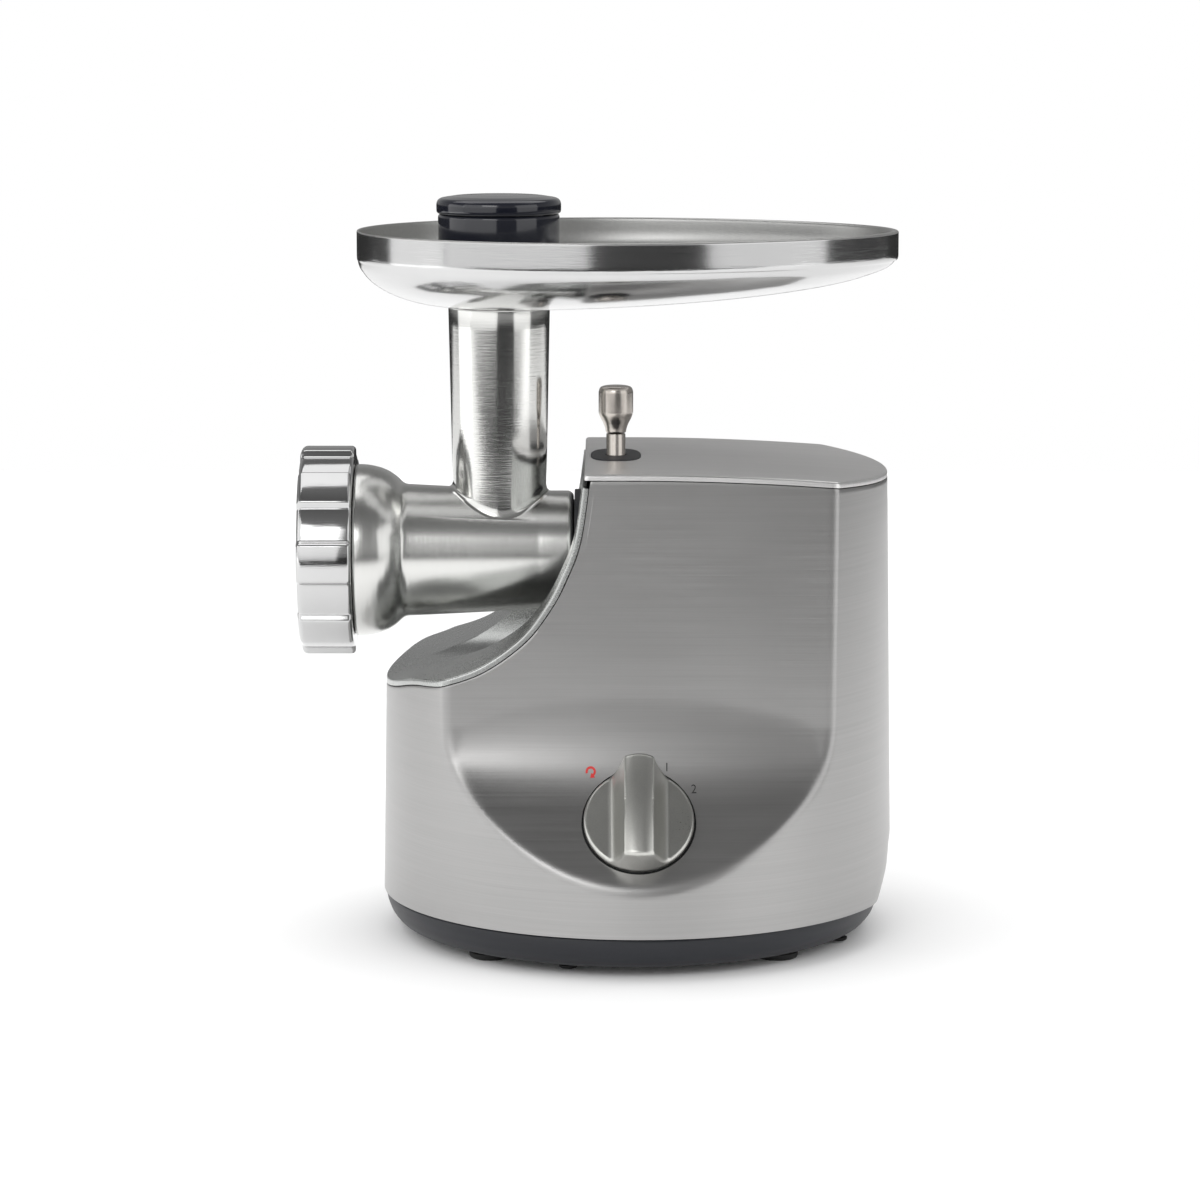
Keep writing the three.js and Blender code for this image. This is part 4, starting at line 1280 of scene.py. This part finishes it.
def buildTray():
    rim, foot, floor, skin = (tray[k] for k in ("rim", "foot", "floor", "skin"))
    tube, bore, collar, low = head["tubeRadius"], head["bore"], tray["collar"], head["socketFloor"] + 0.3
    profile = [
        (0, low, collar), (0, 270, collar), (0, floor, collar), (0, floor, tube),
        (0.12, floor + 0.2, tube), (0.25, floor + 0.8, tube), (0.4, floor + 2.1, tube),
        (0.55, floor + 4, tube), (0.68, floor + 6.3, tube), (0.8, floor + 9.2, tube),
        (0.88, floor + 12, tube), (0.935, foot - 4.2, tube), (0.968, foot - 2.2, tube),
        (0.982, foot - 0.6, tube), (0.99, foot + 0.9, tube), (1, foot + 1.6, tube), (1, foot + 6, tube),
        (1, rim - 2, tube), (1, rim, tube), (0.978, rim, tube), (0.975, rim - 3, tube),
        (0.972, foot + 6, tube), (0.955, foot + 2, tube), (0.925, foot - 1, tube),
        (0.86, foot - 5, tube), (0.78, floor + 8.8 + skin, tube),
        (0.66, floor + 6.2 + skin, tube), (0.54, floor + 4 + skin, tube), (0.4, floor + 2.1 + skin, tube),
        (0.25, floor + 0.9 + skin, tube), (0.1, floor + 0.2 + skin, tube), (0, floor + skin, 21.4),
        (0, floor + skin - 0.6, 19.6), (0, floor + skin - 2.2, bore + 0.1), (0, 270, bore + 0.1),
        (0, low, bore + 0.1)]
    profile = softened(profile, 2)
    turns = [2 * math.pi * i / tray["columns"] for i in range(tray["columns"])]
    rows = []
    for share, height, radius in closedLoop(profile):
        row = []
        for t in turns:
            edge = trayEdge(t)
            x, y = tubeX + radius * math.cos(t), radius * math.sin(t)
            row.append((x + (edge[0] - x) * share, y + (edge[1] - y) * share, height))
        rows.append(row)
    obj = gridObject("foodTray", rows, closed=True)
    return obj


foodTray = buildTray()
finished(foodTray, "tray_lift_off", "trayOutside", ["tray"], 40)
foodTray.data.materials.append(finishes["trayInside"])
middleX = (tray["left"] + tray["right"]) / 2
for face in foodTray.data.polygons:
    spot = face.center
    outward = Vector((spot.x - (middleX + homeX) / 1000, spot.y - homeY / 1000, 0))
    inside = face.normal.z > 0.15 or face.normal.dot(outward) < -0.01
    if inside and spot.z > 0.2785:
        face.material_index = 1

stem = 17.3
pusherProfile = [(0, 205), (stem - 1.4, 205), (stem, 206.6), (stem, 282.6), (25.6, 282.6), (26.3, 283.4),
                 (26.6, 286), (26.6, 316), (26.1, 317), (24.4, 317), (24.4, 286), (stem - 2.4, 284.4),
                 (stem - 2.4, 209), (0, 208)]
pusherBody = turned("pusherBody", rounded(pusherProfile, 0.5, 3), (tubeX, 0, 0), segments=144)
finished(pusherBody, "pusher", "glossPlastic", ["pusher_body"])
capProfile = [(0, 317.5), (26.6, 317.3), (27.2, 317.9), (27.3, 319), (27.3, 321.6), (26.8, 323),
              (25.6, 323.9),
              (20, 324.8), (10, 325.3), (0, 325.4)]
pusherCap = turned("pusherCap", rounded(capProfile, 0.7, 4), (tubeX, 0, 0), segments=144)
finished(pusherCap, "pusher", "glossPlastic", ["pusher_cap"])
print("tray and pusher done")

# parts carried over from the frame get their own finish
carried = {
    "machinedSteel": ["output_bearing", "output_hub", "output_gear", "layshaft", "layshaft_pinion",
                      "motor_pinion", "motor_shaft", "front_bearing", "rear_bearing", "knob_spindle",
                      "cutter"],
    "castAlloy": ["gearbox_case", "gearbox_cover", "motor_end_frame"],
    "gearNylon": ["layshaft_gear", "cooling_fan", "scroll_bush"],
    "laminatedIron": ["motor_stator", "rotor"],
    "windingCopper": ["field_coil_1", "field_coil_2", "commutator"],
    "brushBrass": ["brush_holder_1", "brush_holder_2"],
    "boardGreen": ["control_board"],
    "collarPlastic": ["circuit_breaker", "rotary_switch"],
    "castHead": ["scroll"],
}
for look, names in carried.items():
    for name in names:
        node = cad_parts[name]
        node.data.materials.clear()
        node.data.materials.append(finishes[look])

# floor, backdrop and lamps
studio = {
    "floorTone": 0.92, "floorFront": -1000, "wallAt": 1500, "wallTop": 20, "bend": 10, "halfWidth": 2400,
    # tone of the room from straight down to straight up
    "sky": [(0.0, 0.03), (0.48, 0.03), (0.53, 0.32), (0.62, 0.32), (0.8, 0.2), (0.95, 0.12), (1.0, 0.2)],
    "lamps": [
        ("leftBox", (-1029, -1416, 690), (-20, 0, 190), 2250, 1380, 9.2),
        ("sideBox", (-1600, -120, 420), (-20, 0, 200), 1100, 900, 3.2),
        ("rightBox", (1393, -975, 600), (-20, 0, 150), 1400, 1250, 5),
        ("overBox", (-50, 350, 1500), (-20, 100, 0), 2100, 1100, 9),
        ("frontBox", (-560, -1680, 1100), (-20, 0, 170), 860, 460, 2.6),
    ],
}


def buildSweep():
    rows = []
    bend = studio["bend"]
    start = studio["wallAt"] - bend
    profile = [(studio["floorFront"], 0), (start, 0)]
    profile += [(start + bend * math.sin(math.radians(a)), bend - bend * math.cos(math.radians(a)))
                for a in range(6, 91, 6)]
    profile += [(studio["wallAt"], studio["wallTop"])]
    for y, z in profile:
        rows.append([(studio["halfWidth"] * (i / 6 - 1), y, z) for i in range(13)])
    sweep = gridObject("studioSweep", rows, recalc=False)
    sweep.data.shade_smooth()
    look = Finish("sweepPaper", Roughness=0.75)
    cloud = look.noise(2.5, 2)
    tone = studio["floorTone"]
    look.set("Base Color", look.ramp(cloud, (0.3, grey(tone * 0.985)), (0.7, grey(tone))))
    sweep.data.materials.append(look.material)


def addLamp(name, place, aim, width, height, power):
    data = bpy.data.lights.new(name, "AREA")
    data.shape = "RECTANGLE"
    data.size = width / 1000
    data.size_y = height / 1000
    data.energy = power
    lamp = bpy.data.objects.new(name, data)
    bpy.context.scene.collection.objects.link(lamp)
    start, end = toFrame(*place), toFrame(*aim)
    lamp.location = start
    lamp.rotation_euler = (end - start).to_track_quat("-Z", "Y").to_euler()


buildSweep()
for lamp in studio["lamps"]:
    addLamp(*lamp)
world = bpy.data.worlds.new("studioWorld")
bpy.context.scene.world = world
world.use_nodes = True
sky = Net(world.node_tree)
aim = sky.add("ShaderNodeTexCoord", output="Generated")
height = sky.add("ShaderNodeSeparateXYZ", {}, {0: aim}, output=2)
stops = [(place, grey(tone)) for place, tone in studio["sky"]]
glow = sky.add("ShaderNodeValToRGB", {"stops": stops}, {"Fac": height * 0.5 + 0.5})
# the backdrop itself is plain white; only what the metal mirrors has a ramp
mirrored = sky.add("ShaderNodeLightPath", output="Is Glossy Ray")
room = sky.add("ShaderNodeMix", {"data_type": "RGBA"}, {0: mirrored, 6: (1, 1, 1, 1), 7: glow}, output=2)
sky.feed(world.node_tree.nodes["Background"].inputs["Color"], room)
bpy.context.scene.view_settings.view_transform = "Standard"

print("pieces done")
